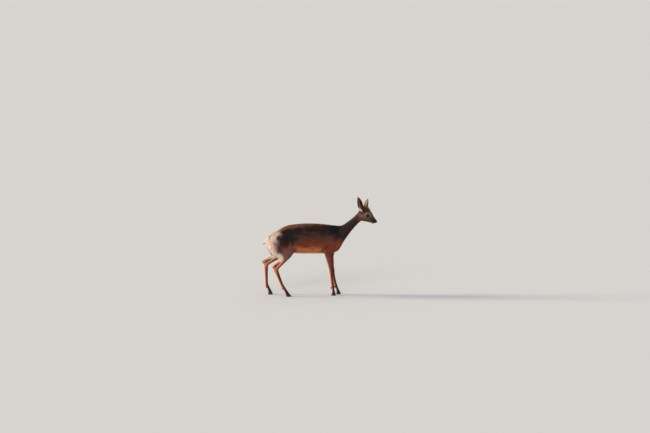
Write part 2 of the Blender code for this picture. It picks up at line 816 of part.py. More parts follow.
def lock(root, direction, bend, length, half_width, half_depth, flat_side, sink):
    """A closed tapered blade. bend is added to the direction by the tip, and sink is the root's depth."""
    direction, bend = Vector(direction).normalized(), Vector(bend)
    rings = []
    for t, width in ((0, 0.85), (0.3, 1.0), (0.6, 0.88), (0.85, 0.55), (1.0, 0.08)):
        reach = t * (length + sink) - sink
        outer = max(0, reach) / length
        centre = Vector(root) + direction * reach + bend * length * 0.5 * outer**2
        heading = (direction + bend * outer).normalized()
        across = (Vector(flat_side) - heading * heading.dot(Vector(flat_side))).normalized()
        thick = heading.cross(across)
        rings.append([
            centre + across * half_width * width,
            centre + thick * half_depth * max(width, 0.25),
            centre - across * half_width * width,
            centre - thick * half_depth * max(width, 0.25),
        ])
    return loft("lock", rings)


def united(obj, pieces):
    """One union of an object with many closed pieces, which are then removed."""
    group = bpy.data.collections.new("pieces")
    bpy.context.scene.collection.children.link(group)
    for piece in pieces:
        bpy.context.scene.collection.objects.unlink(piece)
        group.objects.link(piece)
    join = obj.modifiers.new("join", "BOOLEAN")
    join.operation = "UNION"
    join.solver = "MANIFOLD"
    join.operand_type = "COLLECTION"
    join.collection = group
    apply_modifiers(obj)
    for piece in list(group.objects):
        bpy.data.objects.remove(piece, do_unlink=True)
    bpy.data.collections.remove(group)
    return keep_largest(obj)


# The forehead's tuft: columns of locks as y, first x, last x and count, in the head's frame.
CREST_COLUMNS = [(0, 46, 12, 6), (4.6, 44, 27, 4), (-4.6, 44, 27, 4), (8.4, 40, 36, 2), (-8.4, 40, 36, 2)]
CREST_LENGTH = 23
CREST_LEAN = 52


def crest():
    draw = np.random.default_rng(4)
    top_x, top_z = [row[0] for row in SKULL], [row[1] for row in SKULL]
    turn = HEAD.to_3x3()
    made = []
    for y, first, last, count in CREST_COLUMNS:
        for i in range(count):
            x = first + (last - first) * i / (count - 1) + draw.uniform(-1.6, 1.6)
            side_on = y + draw.uniform(-0.9, 0.9)
            middle = 1 - abs(i / (count - 1) - 0.55)
            length = CREST_LENGTH * (0.6 + 0.45 * middle - 0.012 * abs(y)) * draw.uniform(0.9, 1.08)
            lean = math.radians(CREST_LEAN + draw.uniform(-7, 7))
            spread = 0.035 * side_on + draw.uniform(-0.06, 0.06)
            twist = math.radians(draw.uniform(-26, 26))
            z = float(np.interp(x, top_x, top_z)) - 0.045 * side_on**2
            made.append(
                lock(
                    HEAD @ Vector((x, side_on, z)),
                    turn @ Vector((-math.sin(lean), spread, math.cos(lean))),
                    turn @ Vector((-0.65, spread * 0.6, -0.2)),
                    length,
                    draw.uniform(3.8, 4.8),
                    1.5,
                    turn @ Vector((math.sin(twist), math.cos(twist), 0)),
                    4.5,
                )
            )
    return made


def tail_locks():
    """The tail's tuft: locks down both sides and the back, longest at the tip."""
    draw = np.random.default_rng(7)
    start, along = Vector(TAIL_ROOT), Vector(TAIL_TIP) - Vector(TAIL_ROOT)
    run = along.normalized()
    behind = Vector((run.z, 0, -run.x))
    if behind.x > 0:
        behind = -behind
    made = []
    for t, angles in ((0.58, (-95, -32, 32, 95)), (0.7, (-70, 0, 70)), (0.82, (-120, -45, 45, 120))):
        for angle in angles:
            angle = math.radians(angle + draw.uniform(-6, 6))
            out = behind * math.cos(angle) + Vector((0, 1, 0)) * math.sin(angle)
            side_on = Vector((0, 1, 0)) * math.cos(angle) - behind * math.sin(angle)
            made.append(
                lock(
                    start + along * t + out * 5.8 * (1.2 - 0.5 * t),
                    run + out * 0.3,
                    -out * 0.42,
                    14 + draw.uniform(-1, 1),
                    4.6,
                    1.5,
                    side_on,
                    4,
                )
            )
    return made


def padded(obj, distance):
    """A copy grown by a distance in millimetres, for cutting a seat with a gap."""
    made = copy_of(obj, obj.name + "_padded")
    grow = made.modifiers.new("grow", "DISPLACE")
    grow.mid_level = 0
    grow.strength = distance * MM
    return apply_modifiers(made)


TAIL_ROOT = (-262, 0, 319)
TAIL_TIP = (-308, 0, 284)
TAIL = [
    (0, 9, 8), (0.3, 9, 8), (0.6, 8, 7), (0.82, 6, 5.5), (0.94, 3.4, 3), (1.0, 1.2, 1.2),
]


def tail():
    along = Vector(TAIL_TIP) - Vector(TAIL_ROOT)
    run = along.normalized()
    behind = Vector((run.z, 0, -run.x))
    rings = []
    for t, half_width, half_depth in smooth_rows(TAIL, 2):
        centre = Vector(TAIL_ROOT) + along * t
        rings.append([
            centre
            + Vector((0, 1, 0)) * half_width * math.cos(2 * math.pi * i / 12)
            + behind * half_depth * math.sin(2 * math.pi * i / 12)
            for i in range(12)
        ])
    return loft("tail", rings)


# The head's small forms.

EYE_AIM = (0.34, 0.93, 0.14)


def eye_cutter(side):
    """The opening between the lids: a long almond, widening outward along the way the eye looks."""
    aim = Vector((EYE_AIM[0], side * EYE_AIM[1], EYE_AIM[2])).normalized()
    ahead = Vector((1, 0, -0.12))
    ahead = (ahead - aim * ahead.dot(aim)).normalized()
    up = aim.cross(ahead) * -side
    if up.z < 0:
        up = -up
    rings = []
    for distance, size in ((2, 0.8), (9, 1.0), (16, 1.25)):
        ring = []
        for i in range(20):
            angle = 2 * math.pi * i / 20
            side_on, rise = math.cos(angle), math.sin(angle)
            height = rise * abs(rise) ** 0.1 * (7.4 if rise > 0 else 6.2)
            point = Vector(eye_place(side)) + aim * distance
            point += ahead * side_on * 9.8 * size + up * height * size * (1 - 0.12 * side_on)
            ring.append(HEAD @ point)
        rings.append(ring)
    return loft("almond", rings)


def mouth_cutter():
    """A thin curved sheet round the snout, less the flesh that it must not reach into."""
    rings = []
    for x, z in ((62, 8.6), (70, 9.4), (78, 9.6), (86, 9.4), (93, 10.6), (97, 12.2)):
        width = 26
        rings.append([
            HEAD @ Vector((x, y, z + dz))
                for y, dz in ((-width, -0.45), (width, -0.45), (width, 0.45), (-width, 0.45))
        ])
    sheet = loft("mouth", rings)
    core = head_loft("core", [
        (x, top + 9, low - 9, brow - 1.5, cheek - 1.7, jaw - 1.7, brow_z, cheek_z, jaw_z)
        for x, top, low, brow, cheek, jaw, brow_z, cheek_z, jaw_z in SKULL[4:-2]
    ])
    return boolean(sheet, core, "DIFFERENCE")


def nostril_cutter(side):
    place = (
        HEAD
        @ Matrix.Translation((97.5, side * 6.2, 19.2))
        @ Matrix.Rotation(math.radians(side * 34), 4, "Z")
        @ Matrix.Rotation(math.radians(-32), 4, "Y")
    )
    return ball("nostril", (0, 0, 0), (4.6, 1.5, 2.7), place, segments=10, rings=6)


def head_node(body, coat):
    """The head with its tuft and openings, and a grown copy of the bare head that the ears are cut by."""
    made = cut_out(body, "head", [turned(NECK_CUT)])
    seat = padded(made, GAP)
    united(made, crest())
    for side in SIDES.values():
        socket = EYE_RADIUS + GAP
        boolean(
            made,
            ball("socket", eye_place(side), (socket, socket, socket), HEAD, 16, 12),
            "DIFFERENCE",
        )
        boolean(made, eye_cutter(side), "DIFFERENCE")
        boolean(made, nostril_cutter(side), "DIFFERENCE")
    boolean(made, mouth_cutter(), "DIFFERENCE")
    return finish(keep_largest(made), "head", coat), seat


def main():
    clear_scene()
    coat = material("coat", (0.33, 0.22, 0.15), 0.85)
    horn = material("horn", (0.035, 0.03, 0.028), 0.45)
    eye_black = material("eye", (0.03, 0.018, 0.012), 0.08)

    pieces = [trunk(), *head_masses()]
    for side_name in SIDES:
        pieces += fore_leg(side_name)
        pieces += hind_leg(side_name)
    body = fused("body", pieces, VOXEL)
    smooth_where(body, trunk_weight, 0.5, 60)
    smooth_where(body, head_weight, 0.5, 9)
    smooth_where(body, lambda co: 1, 0.5, 3)

    head_part = bisect(copy_of(body, "head_part"), *turned(shifted(NECK_CUT, -12)))
    thinned(keep_largest(head_part), HEAD_FACES)
    bisect(body, *shifted(NECK_CUT, 12))
    thinned(keep_largest(body), TRUNK_FACES)

    _, head_seat = head_node(head_part, coat)
    bpy.data.objects.remove(head_part, do_unlink=True)
    finish(cut_out(body, "neck", [turned(CHEST_CUT), NECK_CUT]), "neck", coat)
    for side_name in SIDES:
        legs = leg_nodes(body, side_name, coat)
        foot_nodes(side_name, horn)
        dewclaw_nodes(side_name, legs, horn)
    torso = cut_out(body, "torso", [CHEST_CUT])
    bpy.data.objects.remove(body, do_unlink=True)
    finish(keep_largest(without_legs(torso)), "torso", coat)

    for side_name, side in SIDES.items():
        made = boolean(ear(side_name), head_seat, "DIFFERENCE", keep_other=True)
        finish(keep_largest(made), "ear_" + side_name, coat)
        centre, radius = eye_place(side), EYE_RADIUS
        finish(
            ball("eye", centre, (radius, radius, radius), HEAD, 16, 12), "eye_" + side_name, eye_black
        )
    bpy.data.objects.remove(head_seat, do_unlink=True)
    torso_seat = padded(torso, GAP)
    tail_whole = united(tail(), tail_locks())
    finish(keep_largest(boolean(tail_whole, torso_seat, "DIFFERENCE")), "tail", coat)

    for obj in bpy.context.scene.collection.objects:
        obj.data.transform(Matrix.Translation((STANCE_SHIFT[0] * MM, STANCE_SHIFT[1] * MM, 0)))


main()
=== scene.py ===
"""A dik-dik (Madoqua), a dwarf antelope, as a still life-size model: its skin, coat, eyes, hooves and light.

Metres, +Z up. The animal stands along +X with its right flank toward -Y, and the floor is z = 0.
"""

import math

import bmesh
import bpy
import numpy as np
from mathutils import Matrix, Vector, kdtree, noise


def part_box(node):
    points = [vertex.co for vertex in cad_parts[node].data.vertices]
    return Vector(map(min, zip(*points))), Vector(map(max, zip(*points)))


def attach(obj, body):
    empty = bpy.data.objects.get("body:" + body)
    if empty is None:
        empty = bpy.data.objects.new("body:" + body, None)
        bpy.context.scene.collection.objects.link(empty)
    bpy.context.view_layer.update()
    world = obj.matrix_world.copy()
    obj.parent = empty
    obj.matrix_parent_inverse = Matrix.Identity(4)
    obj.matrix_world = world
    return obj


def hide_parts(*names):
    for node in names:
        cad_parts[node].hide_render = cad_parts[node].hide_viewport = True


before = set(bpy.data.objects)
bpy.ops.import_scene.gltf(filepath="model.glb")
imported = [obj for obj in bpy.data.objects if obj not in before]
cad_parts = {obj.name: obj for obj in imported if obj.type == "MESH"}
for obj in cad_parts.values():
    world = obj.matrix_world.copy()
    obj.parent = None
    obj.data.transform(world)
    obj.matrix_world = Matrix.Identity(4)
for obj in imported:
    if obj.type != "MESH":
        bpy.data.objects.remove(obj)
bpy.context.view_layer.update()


# The camera stands far off behind a long lens, a little to the animal's rear and above its back.
# The animal is small in a wide picture, as in the photograph.

AIM = Vector((0.0311, -0.0028, 0.429))
CAMERA_AZIMUTH, CAMERA_ELEVATION, CAMERA_DISTANCE = math.radians(-4), math.radians(8), 20.0
PICTURE_WIDTH = 3.51
SENSOR = 36.0


def placed(name, data):
    """A new object in the scene that holds a mesh, a curve, a lamp or a lens."""
    made = bpy.data.objects.new(name, data)
    bpy.context.scene.collection.objects.link(made)
    return made


lens = bpy.data.cameras.new("camera")
lens.sensor_width = SENSOR
lens.lens = SENSOR * CAMERA_DISTANCE / PICTURE_WIDTH
lens.clip_end = 300
camera = placed("camera", lens)
toward_camera = Vector((
    math.sin(CAMERA_AZIMUTH) * math.cos(CAMERA_ELEVATION),
    -math.cos(CAMERA_AZIMUTH) * math.cos(CAMERA_ELEVATION),
    math.sin(CAMERA_ELEVATION),
))
camera.location = AIM + toward_camera * CAMERA_DISTANCE
camera.rotation_euler = toward_camera.to_track_quat("Z", "Y").to_euler()
bpy.context.scene.camera = camera


# The studio: a warm low key from behind the animal's tail, a broad soft fill on the camera's side,
# and a matt pale floor that runs out to a world of the same tone.

def sun(name, source, energy, colour, softness):
    lamp = bpy.data.lights.new(name, "SUN")
    lamp.energy = energy
    lamp.color = colour
    lamp.angle = math.radians(softness)
    placed(name, lamp).rotation_euler = Vector(source).to_track_quat("Z", "Y").to_euler()


sun("key", (-0.90, 0.13, 0.31), 5.0, (1.0, 0.84, 0.64), 12)
sun("fill", (-0.3, -0.85, 0.45), 0.95, (1.0, 0.93, 0.86), 22)
sun("top", (0.25, 0.3, 0.9), 0.25, (0.90, 0.94, 1.0), 60)

world = bpy.data.worlds.new("world")
world.use_nodes = True
world.node_tree.nodes["Background"].inputs["Color"].default_value = (0.81, 0.79, 0.765, 1)
world.node_tree.nodes["Background"].inputs["Strength"].default_value = 0.8
bpy.context.scene.world = world
bpy.context.scene.view_settings.view_transform = "Standard"


def piece_from(name, shape):
    """A new object from a bmesh, which is then let go."""
    mesh = bpy.data.meshes.new(name)
    shape.to_mesh(mesh)
    shape.free()
    return placed(name, mesh)


floor_shape = bmesh.new()
bmesh.ops.create_circle(floor_shape, cap_ends=True, segments=64, radius=120)
floor = piece_from("floor", floor_shape)
floor_paint = bpy.data.materials.new("floor")
floor_paint.use_nodes = True
floor_shader = floor_paint.node_tree.nodes["Principled BSDF"]
floor_shader.inputs["Base Color"].default_value = (0.50, 0.525, 0.56, 1)
floor_shader.inputs["Roughness"].default_value = 1.0
floor_shader.inputs["Specular IOR Level"].default_value = 0.0
floor.data.materials.append(floor_paint)


# The skin: one closed surface over all the flesh, from the CAD's own solids. They are grown until
# their thin cuts close, fused, smoothed, and then drawn in by the depth of the coat.

MM = 0.001
FLESH = ["torso", "neck", "head", "tail", "ear_right", "ear_left"] + [
    f"{limb}leg_{side}_{part}"
    for limb in ("fore", "hind")
    for side in ("right", "left")
    for part in ("upper", "lower")
]
SKIN_VOXEL = 1.1 * MM
SKIN_TRIANGLES = 176_000
GROWN = 0.35 * MM
# Points of a copied solid nearer than this are one point.
DOUBLES = 1e-6
EYE_CENTRES = {side: sum(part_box(f"eye_{side}"), Vector()) / 2 for side in ("right", "left")}
EYE_RADIUS = (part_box("eye_right")[1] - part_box("eye_right")[0]).z / 2
LID_THICKNESS = 1.6 * MM

# The head's own frame, as the CAD has it: x runs from the joint with the neck to the nose.
HEAD = (
    Matrix.Translation(Vector((220.1, -5.8, 424)) * MM)
    @ Matrix.Rotation(math.radians(-28), 4, "Z")
    @ Matrix.Rotation(math.radians(22), 4, "Y")
    @ Matrix.Rotation(math.radians(4), 4, "X")
)
HEAD_TURN = np.array(HEAD.to_3x3())
HEAD_PLACE = np.array(HEAD.translation)
# The top line of the bare skull as x and z in that frame, in millimetres.
SKULL_TOP = ((-16, -8, 2, 14, 26, 38, 50, 60, 70), (33, 43, 49.5, 53, 54.5, 54, 51, 46, 40))
# How fast the skull falls away to its sides, as a share of the distance squared.
SKULL_ROUND = 0.018
# The middle of the nose's wing on one side, in that frame.
NOSE_WING, NOSE_WING_RADIUS = (95.2, 5.4, 18.6), 3.4 * MM


def in_head(points):
    """World points in the head's frame, in millimetres."""
    return (np.asarray(points) - HEAD_PLACE) @ HEAD_TURN / MM


def made_mesh(piece):
    """The mesh that a piece's modifiers, or its curve, make."""
    return bpy.data.meshes.new_from_object(piece.evaluated_get(bpy.context.evaluated_depsgraph_get()))


def applied(piece):
    """Writes the modifiers' result into the piece's own mesh."""
    done = made_mesh(piece)
    piece.modifiers.clear()
    piece.data = done


def fused(piece, voxel):
    """Runs a piece's closed shapes together into one surface of even triangles."""
    fuse = piece.modifiers.new("fuse", "REMESH")
    fuse.mode, fuse.voxel_size = "VOXEL", voxel
    piece.modifiers.new("triangles", "TRIANGULATE")
    applied(piece)


def carved(piece, tool, solver="EXACT"):
    cut = piece.modifiers.new("cut", "BOOLEAN")
    cut.operation, cut.solver, cut.object = "DIFFERENCE", solver, tool
    applied(piece)
    bpy.data.objects.remove(tool)
    return piece


def node_copy(node):
    shape = bmesh.new()
    shape.from_mesh(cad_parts[node].data)
    bmesh.ops.remove_doubles(shape, verts=shape.verts, dist=DOUBLES)
    return shape


def skull_cap():
    """A slab whose underside follows the bare skull, to take the solid head's tuft off it."""
    slab = bmesh.new()
    bmesh.ops.create_grid(slab, x_segments=20, y_segments=10, size=1)
    for vertex in slab.verts:
        x, y = 27 + vertex.co.x * 30, vertex.co.y * 16
        vertex.co = (x, y, np.interp(x, *SKULL_TOP) - SKULL_ROUND * y * y - 0.4)
    raised = bmesh.ops.extrude_face_region(slab, geom=slab.faces[:])
    top = [part for part in raised["geom"] if isinstance(part, bmesh.types.BMVert)]
    bmesh.ops.translate(slab, vec=(-10, 0, 50), verts=top)
    bmesh.ops.recalc_face_normals(slab, faces=slab.faces)
    bmesh.ops.transform(slab, matrix=HEAD @ Matrix.Scale(MM, 4), verts=slab.verts)
    return piece_from("skull_cap", slab)


bare_head = carved(piece_from("bare_head", node_copy("head")), skull_cap())

flesh = bmesh.new()
for node in FLESH:
    part = bmesh.new()
    part.from_mesh(bare_head.data if node == "head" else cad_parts[node].data)
    bmesh.ops.remove_doubles(part, verts=part.verts, dist=DOUBLES)
    part.normal_update()
    for vertex in part.verts:
        vertex.co += vertex.normal * GROWN
    grown = bpy.data.meshes.new(node)
    part.to_mesh(grown)
    part.free()
    flesh.from_mesh(grown)
    bpy.data.meshes.remove(grown)
bpy.data.objects.remove(bare_head)
for side, centre in EYE_CENTRES.items():
    bmesh.ops.create_icosphere(
        flesh, subdivisions=4, radius=EYE_RADIUS + LID_THICKNESS, matrix=Matrix.Translation(centre)
    )
for way in (-1, 1):
    bmesh.ops.create_icosphere(
        flesh,
        subdivisions=3,
        radius=NOSE_WING_RADIUS,
        matrix=Matrix.Translation(HEAD @ (Vector((1, way, 1)) * Vector(NOSE_WING) * MM)),
    )
skin = piece_from("skin", flesh)
fused(skin, SKIN_VOXEL)


def read(mesh, layer, size):
    """A mesh's coordinates or normals as rows."""
    values = np.empty(len(mesh.vertices) * size, np.float32)
    if layer == "co":
        mesh.vertices.foreach_get("co", values)
    else:
        mesh.vertex_normals.foreach_get("vector", values)
    return values.reshape(-1, size).astype(float)


def write(mesh, points):
    """Rows of coordinates put into a mesh."""
    mesh.vertices.foreach_set("co", points.astype(np.float32).ravel())
    mesh.update()


def ramp(value, low, high):
    """0 at low, 1 at high and a smooth rise between; high may be under low."""
    t = np.clip((np.asarray(value, float) - low) / (high - low), 0, 1)
    return t * t * (3 - 2 * t)


# The body is thinned hard and the head hardly at all.
thin = skin.modifiers.new("thin", "DECIMATE")
thin.vertex_group = skin.vertex_groups.new(name="body").name
off_head = ramp(np.linalg.norm(in_head(read(skin.data, "co", 3)) - (50, 0, 25), axis=1), 66, 96)
for level in range(1, 11):
    chosen = np.flatnonzero(np.ceil(off_head * 10) == level)
    skin.vertex_groups["body"].add(chosen.tolist(), level / 10, "REPLACE")
thin.ratio = SKIN_TRIANGLES / len(skin.data.polygons)
applied(skin)
skin.vertex_groups.clear()

# What the CAD says about each place: the nearest vertex of the solids names the part of the body.
solid_points = kdtree.KDTree(sum(len(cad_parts[n].data.vertices) for n in FLESH))
owners = []
for number, node in enumerate(FLESH):
    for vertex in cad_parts[node].data.vertices:
        solid_points.insert(vertex.co, len(owners))
        owners.append(number)
solid_points.balance()
owners = np.array(owners)


def edges_of(mesh):
    values = np.empty(len(mesh.edges) * 2, np.int32)
    mesh.edges.foreach_get("vertices", values)
    return values.reshape(-1, 2).T


def part_of(points):
    """The number in FLESH of the part of the body that each point is on."""
    return owners[[solid_points.find(point)[1] for point in points]]


def on(*nodes):
    """Which points of the skin are on these parts of the body."""
    return np.isin(parts, [FLESH.index(n) for n in nodes])


def spread(values, edges, rounds, share=1.0):
    """Each row drawn toward the mean of its neighbours, a number of times."""
    values = np.array(values, float)
    flat = values.ndim == 1
    if flat:
        values = values[:, None]
    count = len(values)
    a, b = edges
    joined = np.bincount(a, minlength=count) + np.bincount(b, minlength=count)
    joined = np.maximum(joined, 1)[:, None]
    pull = np.broadcast_to(np.asarray(share, float).reshape(-1, 1), (count, 1))
    for _ in range(rounds):
        total = np.stack(
            [
                np.bincount(a, values[b, k], count) + np.bincount(b, values[a, k], count)
                for k in range(values.shape[1])
            ],
            1,
        )
        values += (total / joined - values) * pull
    return values[:, 0] if flat else values


# Depth of the coat over the skin on each part, in millimetres.
COAT_DEPTH = {
    "torso": 3.4, "neck": 2.6, "head": 0.7, "tail": 0.6, "ear": 0.2, "upper": 1.3, "lower": 0.6,
}
FOOT_REACH = 2.6 * MM


def by_part(table):
    """The table's value for each part of the body: by its name, its first word or its last."""
    return np.array([table.get(n, table.get(n.split("_")[0], table.get(n.split("_")[-1]))) for n in FLESH])


points = read(skin.data, "co", 3)
edges = edges_of(skin.data)
parts = part_of(points)
head_points = in_head(points)
trunk_share = ramp(points[:, 2], 0.165, 0.215) * ramp(points[:, 0], 0.215, 0.185)
points = spread(points, edges, 26, 0.5 * trunk_share)
crown_share = (
    ramp(head_points[:, 0], -8, 2) * ramp(head_points[:, 0], 62, 52)
    * ramp(abs(head_points[:, 1]), 18, 12) * ramp(head_points[:, 2], 36, 42)
    * on("head")
)
points = spread(points, edges, 30, 0.5 * crown_share)
points = spread(points, edges, 4, np.where(by_part(COAT_DEPTH)[parts] < 0.3, 0.25, 0.5))
write(skin.data, points)
depth = spread(by_part(COAT_DEPTH)[parts], edges, 14)
points -= read(skin.data, "normal", 3) * depth[:, None] * MM
# The ends of the legs are drawn down into the hooves.
points[:, 2] -= ramp(points[:, 2], 0.027, 0.0195) * FOOT_REACH

# The line of the mouth, as x and z in the head's frame, the pits of the scent glands before the eyes,
# and the hollow between the shank and the heel's tendon are all pressed in.
MOUTH_LINE = ((60, 70, 78, 86, 93, 97), (8.4, 9.4, 9.6, 9.4, 10.6, 12.2))
GLAND, GLAND_SIZE = (63.0, 15.5, 28.5), (6.0, 9.0, 2.8)
HEEL_HOLLOW = {"right": ((-239, 162), (-212, 193)), "left": ((-287, 178), (-254, 198))}


def gland_distance(rows):
    """How far each point of the head is from the nearer gland, in the pit's own half sizes."""
    slope = GLAND[2] - 0.35 * (rows[:, 0] - GLAND[0])
    pit = np.stack([np.full(len(rows), GLAND[0]), np.sign(rows[:, 1]) * GLAND[1], slope], 1)
    return np.linalg.norm((rows - pit) / GLAND_SIZE, axis=1)


def heel_hollow(rows, owners_of_rows):
    """How far each point, in millimetres, lies in the hollow above a heel, 0 to 1."""
    share = np.zeros(len(rows))
    for side, ends in HEEL_HOLLOW.items():
        low, high = np.array(ends, float)
        run = high - low
        t = np.clip((rows[:, [0, 2]] - low) @ run / (run @ run), 0, 1)
        off = np.linalg.norm(rows[:, [0, 2]] - low - t[:, None] * run, axis=1)
        share += ramp(off, 6.5, 2) * (owners_of_rows == FLESH.index(f"hindleg_{side}_upper"))
    return share


head_points = in_head(points)
on_head = on("head")
lip_gap = abs(head_points[:, 2] - np.interp(head_points[:, 0], *MOUTH_LINE))
press = ramp(lip_gap, 1.5, 0.2) * ramp(head_points[:, 0], 59, 66) * on_head * 1.5
press += ramp(gland_distance(head_points), 1.1, 0.3) * on_head * 1.8
press += heel_hollow(points / MM, parts) * 1.2
points -= read(skin.data, "normal", 3) * press[:, None] * MM
write(skin.data, points)


# The openings of the head: a round socket and an almond between the lids for each eye, and the nostrils.
# The almond widens outward along the way the eye looks.

EYE_AIM = (0.34, 0.93, 0.14)
# Half its width, and its height above and below the corners.
ALMOND = (10.6 * MM, 7.8 * MM, 6.6 * MM)
ALMOND_POINTS = 36
# How far out from the eye's centre the almond has its own size.
LID_DISTANCE = 9
SOCKET_GAP = 0.25 * MM
NOSTRIL, NOSTRIL_HALF = (97.3, 6.2, 19.2), (4.6 * MM, 1.5 * MM, 2.7 * MM)


def eye_axes(side):
    """The way the eye looks, the way to its front corner, and up, in the world."""
    way = -1 if side == "right" else 1
    turn = HEAD.to_3x3()
    aim = Vector((EYE_AIM[0], way * EYE_AIM[1], EYE_AIM[2])).normalized()
    ahead = Vector((1, 0, -0.12))
    ahead = (ahead - aim * ahead.dot(aim)).normalized()
    up = aim.cross(ahead)
    up = -up if up.z < 0 else up
    return turn @ aim, turn @ ahead, turn @ up


def almond_point(side, angle, size):
    """A point of the opening's outline, as an offset from the eye's centre across its axis."""
    _, ahead, up = eye_axes(side)
    width, above, below = ALMOND
    run, rise = math.cos(angle), math.sin(angle)
    height = rise * abs(rise) ** 0.35 * (above if rise > 0 else below)
    return (ahead * run * width - up * run * 0.8 * MM + up * height * (1 - 0.1 * run)) * size


def almond_cutter(side):
    aim, _, _ = eye_axes(side)
    shape = bmesh.new()
    rings = []
    for distance, size in ((2, 0.8), (LID_DISTANCE, 1.0), (16, 1.25)):
        ring = [
            shape.verts.new(EYE_CENTRES[side] + aim * distance * MM + almond_point(side, angle, size))
            for angle in np.arange(ALMOND_POINTS) * math.tau / ALMOND_POINTS
        ]
        rings.append(ring)
        for k in range(ALMOND_POINTS):
            shape.edges.new((ring[k - 1], ring[k]))
    bmesh.ops.bridge_loops(shape, edges=shape.edges[:])
    for ring in (rings[0], rings[-1]):
        shape.faces.new(ring)
    bmesh.ops.recalc_face_normals(shape, faces=shape.faces)
    return piece_from("almond", shape)


def ball_cutter(place, radii):
    shape = bmesh.new()
    bmesh.ops.create_icosphere(shape, subdivisions=4, radius=1)
    bmesh.ops.transform(shape, matrix=place @ Matrix.Diagonal((*radii, 1)), verts=shape.verts)
    return piece_from("ball", shape)


for side, way in (("right", -1), ("left", 1)):
    socket = EYE_RADIUS + SOCKET_GAP
    carved(skin, ball_cutter(Matrix.Translation(EYE_CENTRES[side]), [socket] * 3), "MANIFOLD")
    carved(skin, almond_cutter(side), "MANIFOLD")
    nostril = (
        HEAD
        @ Matrix.Translation(Vector((1, way, 1)) * Vector(NOSTRIL) * MM)
        @ Matrix.Rotation(math.radians(way * 34), 4, "Z")
        @ Matrix.Rotation(math.radians(-32), 4, "Y")
    )
    carved(skin, ball_cutter(nostril, NOSTRIL_HALF), "MANIFOLD")

skin.modifiers.new("triangles", "TRIANGULATE")
applied(skin)
skin.data.shade_smooth()


# The lie of the coat: over each part the hair runs one way, from the nose to the tail and down the legs,
# and turns smoothly from part to part. Its length, and how far it stands off, change the same way.

points = read(skin.data, "co", 3)
normals = read(skin.data, "normal", 3)
edges = edges_of(skin.data)
parts = part_of(points)
head_points = in_head(points)
x, y, z = points.T / MM


def unit(rows):
    """Each row brought to a length of 1."""
    return rows / np.maximum(np.linalg.norm(rows, axis=-1, keepdims=True), 1e-6)


def long_axis(node, toward):
    """The direction in which a node is longest, as seen toward a given way."""
    rows = read(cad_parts[node].data, "co", 3)
    axis = np.linalg.svd(rows - rows.mean(0), full_matrices=False)[2][0]
    return axis * np.sign(axis @ toward)


HEAD_AHEAD = HEAD_TURN[:, 0]
axes = {
    "torso": np.array([-1.0, 0, -0.22]),
    "neck": np.array([-0.72, 0, -0.69]),
    "head": -HEAD_AHEAD,
    "tail": long_axis("tail", (0, 0, -1)),
    "ear_right": long_axis("ear_right", (0, 0, 1)),
    "ear_left": long_axis("ear_left", (0, 0, 1)),
}
for node in FLESH[6:]:
    axes[node] = long_axis(node, (0, 0, -1))
part_axes = np.array([axes[n] for n in FLESH])
lie = part_axes[parts].copy()
on_torso, on_head = on("torso"), on("head")
rump = ramp(x, -215, -275)[:, None] * on_torso[:, None]
lie = lie * (1 - rump) + rump * np.array([-0.3, 0, -1.0])
thigh = (ramp(z, 300, 235) * ramp(x, -120, -165))[:, None] * on_torso[:, None]
lie = lie * (1 - thigh) + thigh * np.array([-0.45, 0, -0.9])
chest = (ramp(x, 70, 120) * ramp(z, 340, 280))[:, None] * on_torso[:, None]
lie = lie * (1 - chest) + chest * np.array([-0.25, 0, -1.0])
shoulder = (ramp(x, 25, 60) * ramp(z, 345, 290))[:, None] * on_torso[:, None]
lie = lie * (1 - 0.6 * shoulder) + 0.6 * shoulder * np.array([-0.6, 0, -0.9])
lie = spread(lie, edges, 30)
front = unit(spread(np.stack([-lie[:, 2], 0 * x, lie[:, 0]], 1), edges, 4))
forward = (normals * front).sum(1)
lie = unit(lie - normals * (lie * normals).sum(1)[:, None])

# A tuft's length and width in millimetres, its rise as a share of its length, and the tufts on each
# square centimetre.
HAIR = {
    "torso": (11.5, 0.98, 0.30, 42),
    "neck": (8.0, 0.9, 0.28, 50),
    "head": (3.6, 0.62, 0.2, 70),
    "tail": (6.5, 1.1, 0.3, 130),
    "ear": (3.2, 0.55, 0.16, 60),
    "upper": (5.5, 0.85, 0.22, 46),
    "lower": (3.6, 0.62, 0.16, 50),
}
length, width, rise, count = by_part(HAIR)[parts].T
longer = 3.5 * ramp(x, -220, -270) + 3 * ramp(x, -274, -290) - 2.5 * ramp(z, 245, 228)
length = np.where(on_torso, length + longer, length)
muzzle = ramp(head_points[:, 0], 55, 80) * on_head
length = length * (1 - 0.55 * muzzle)
length = spread(length, edges, 15)
width = spread(width * (1 - 0.3 * muzzle), edges, 15)
unit_axes = unit(part_axes)
along_axis = (normals * unit_axes[parts]).sum(1)
at_end = ramp(along_axis, 0.55, 0.95)
at_end *= on("tail", "ear_right", "ear_left")
rise = spread(rise, edges, 15) + 1.1 * at_end
rise += 0.25 * ramp(x, -270, -290) * on_torso
length = length * (1 - 0.45 * at_end * on("tail"))
count = spread(count, edges, 15)


# The markings, worked out once at each point of the skin, and taken up by each tuft at its root.
# A black-brown grizzled saddle runs down over the haunch, the rump is pale, the flank brown and the
# belly tan, partly as painted warm light bounced up from below. Painted sunlight lies along the top of
# the back. They are streaked the way the hair lies.

def paint(red, green, blue):
    """A colour as it looks on a screen, as the light it reflects."""
    shown = np.array([red, green, blue])
    return np.where(shown < 0.04045, shown / 12.92, ((shown + 0.055) / 1.055) ** 2.4)


class Layers:
    """The colours of many points, laid one over another."""

    def __init__(self, colour, count):
        self.rows = np.tile(colour, (count, 1))

    def lay(self, colour, share):
        self.rows = self.rows + (colour - self.rows) * np.clip(share, 0, 1)[:, None]


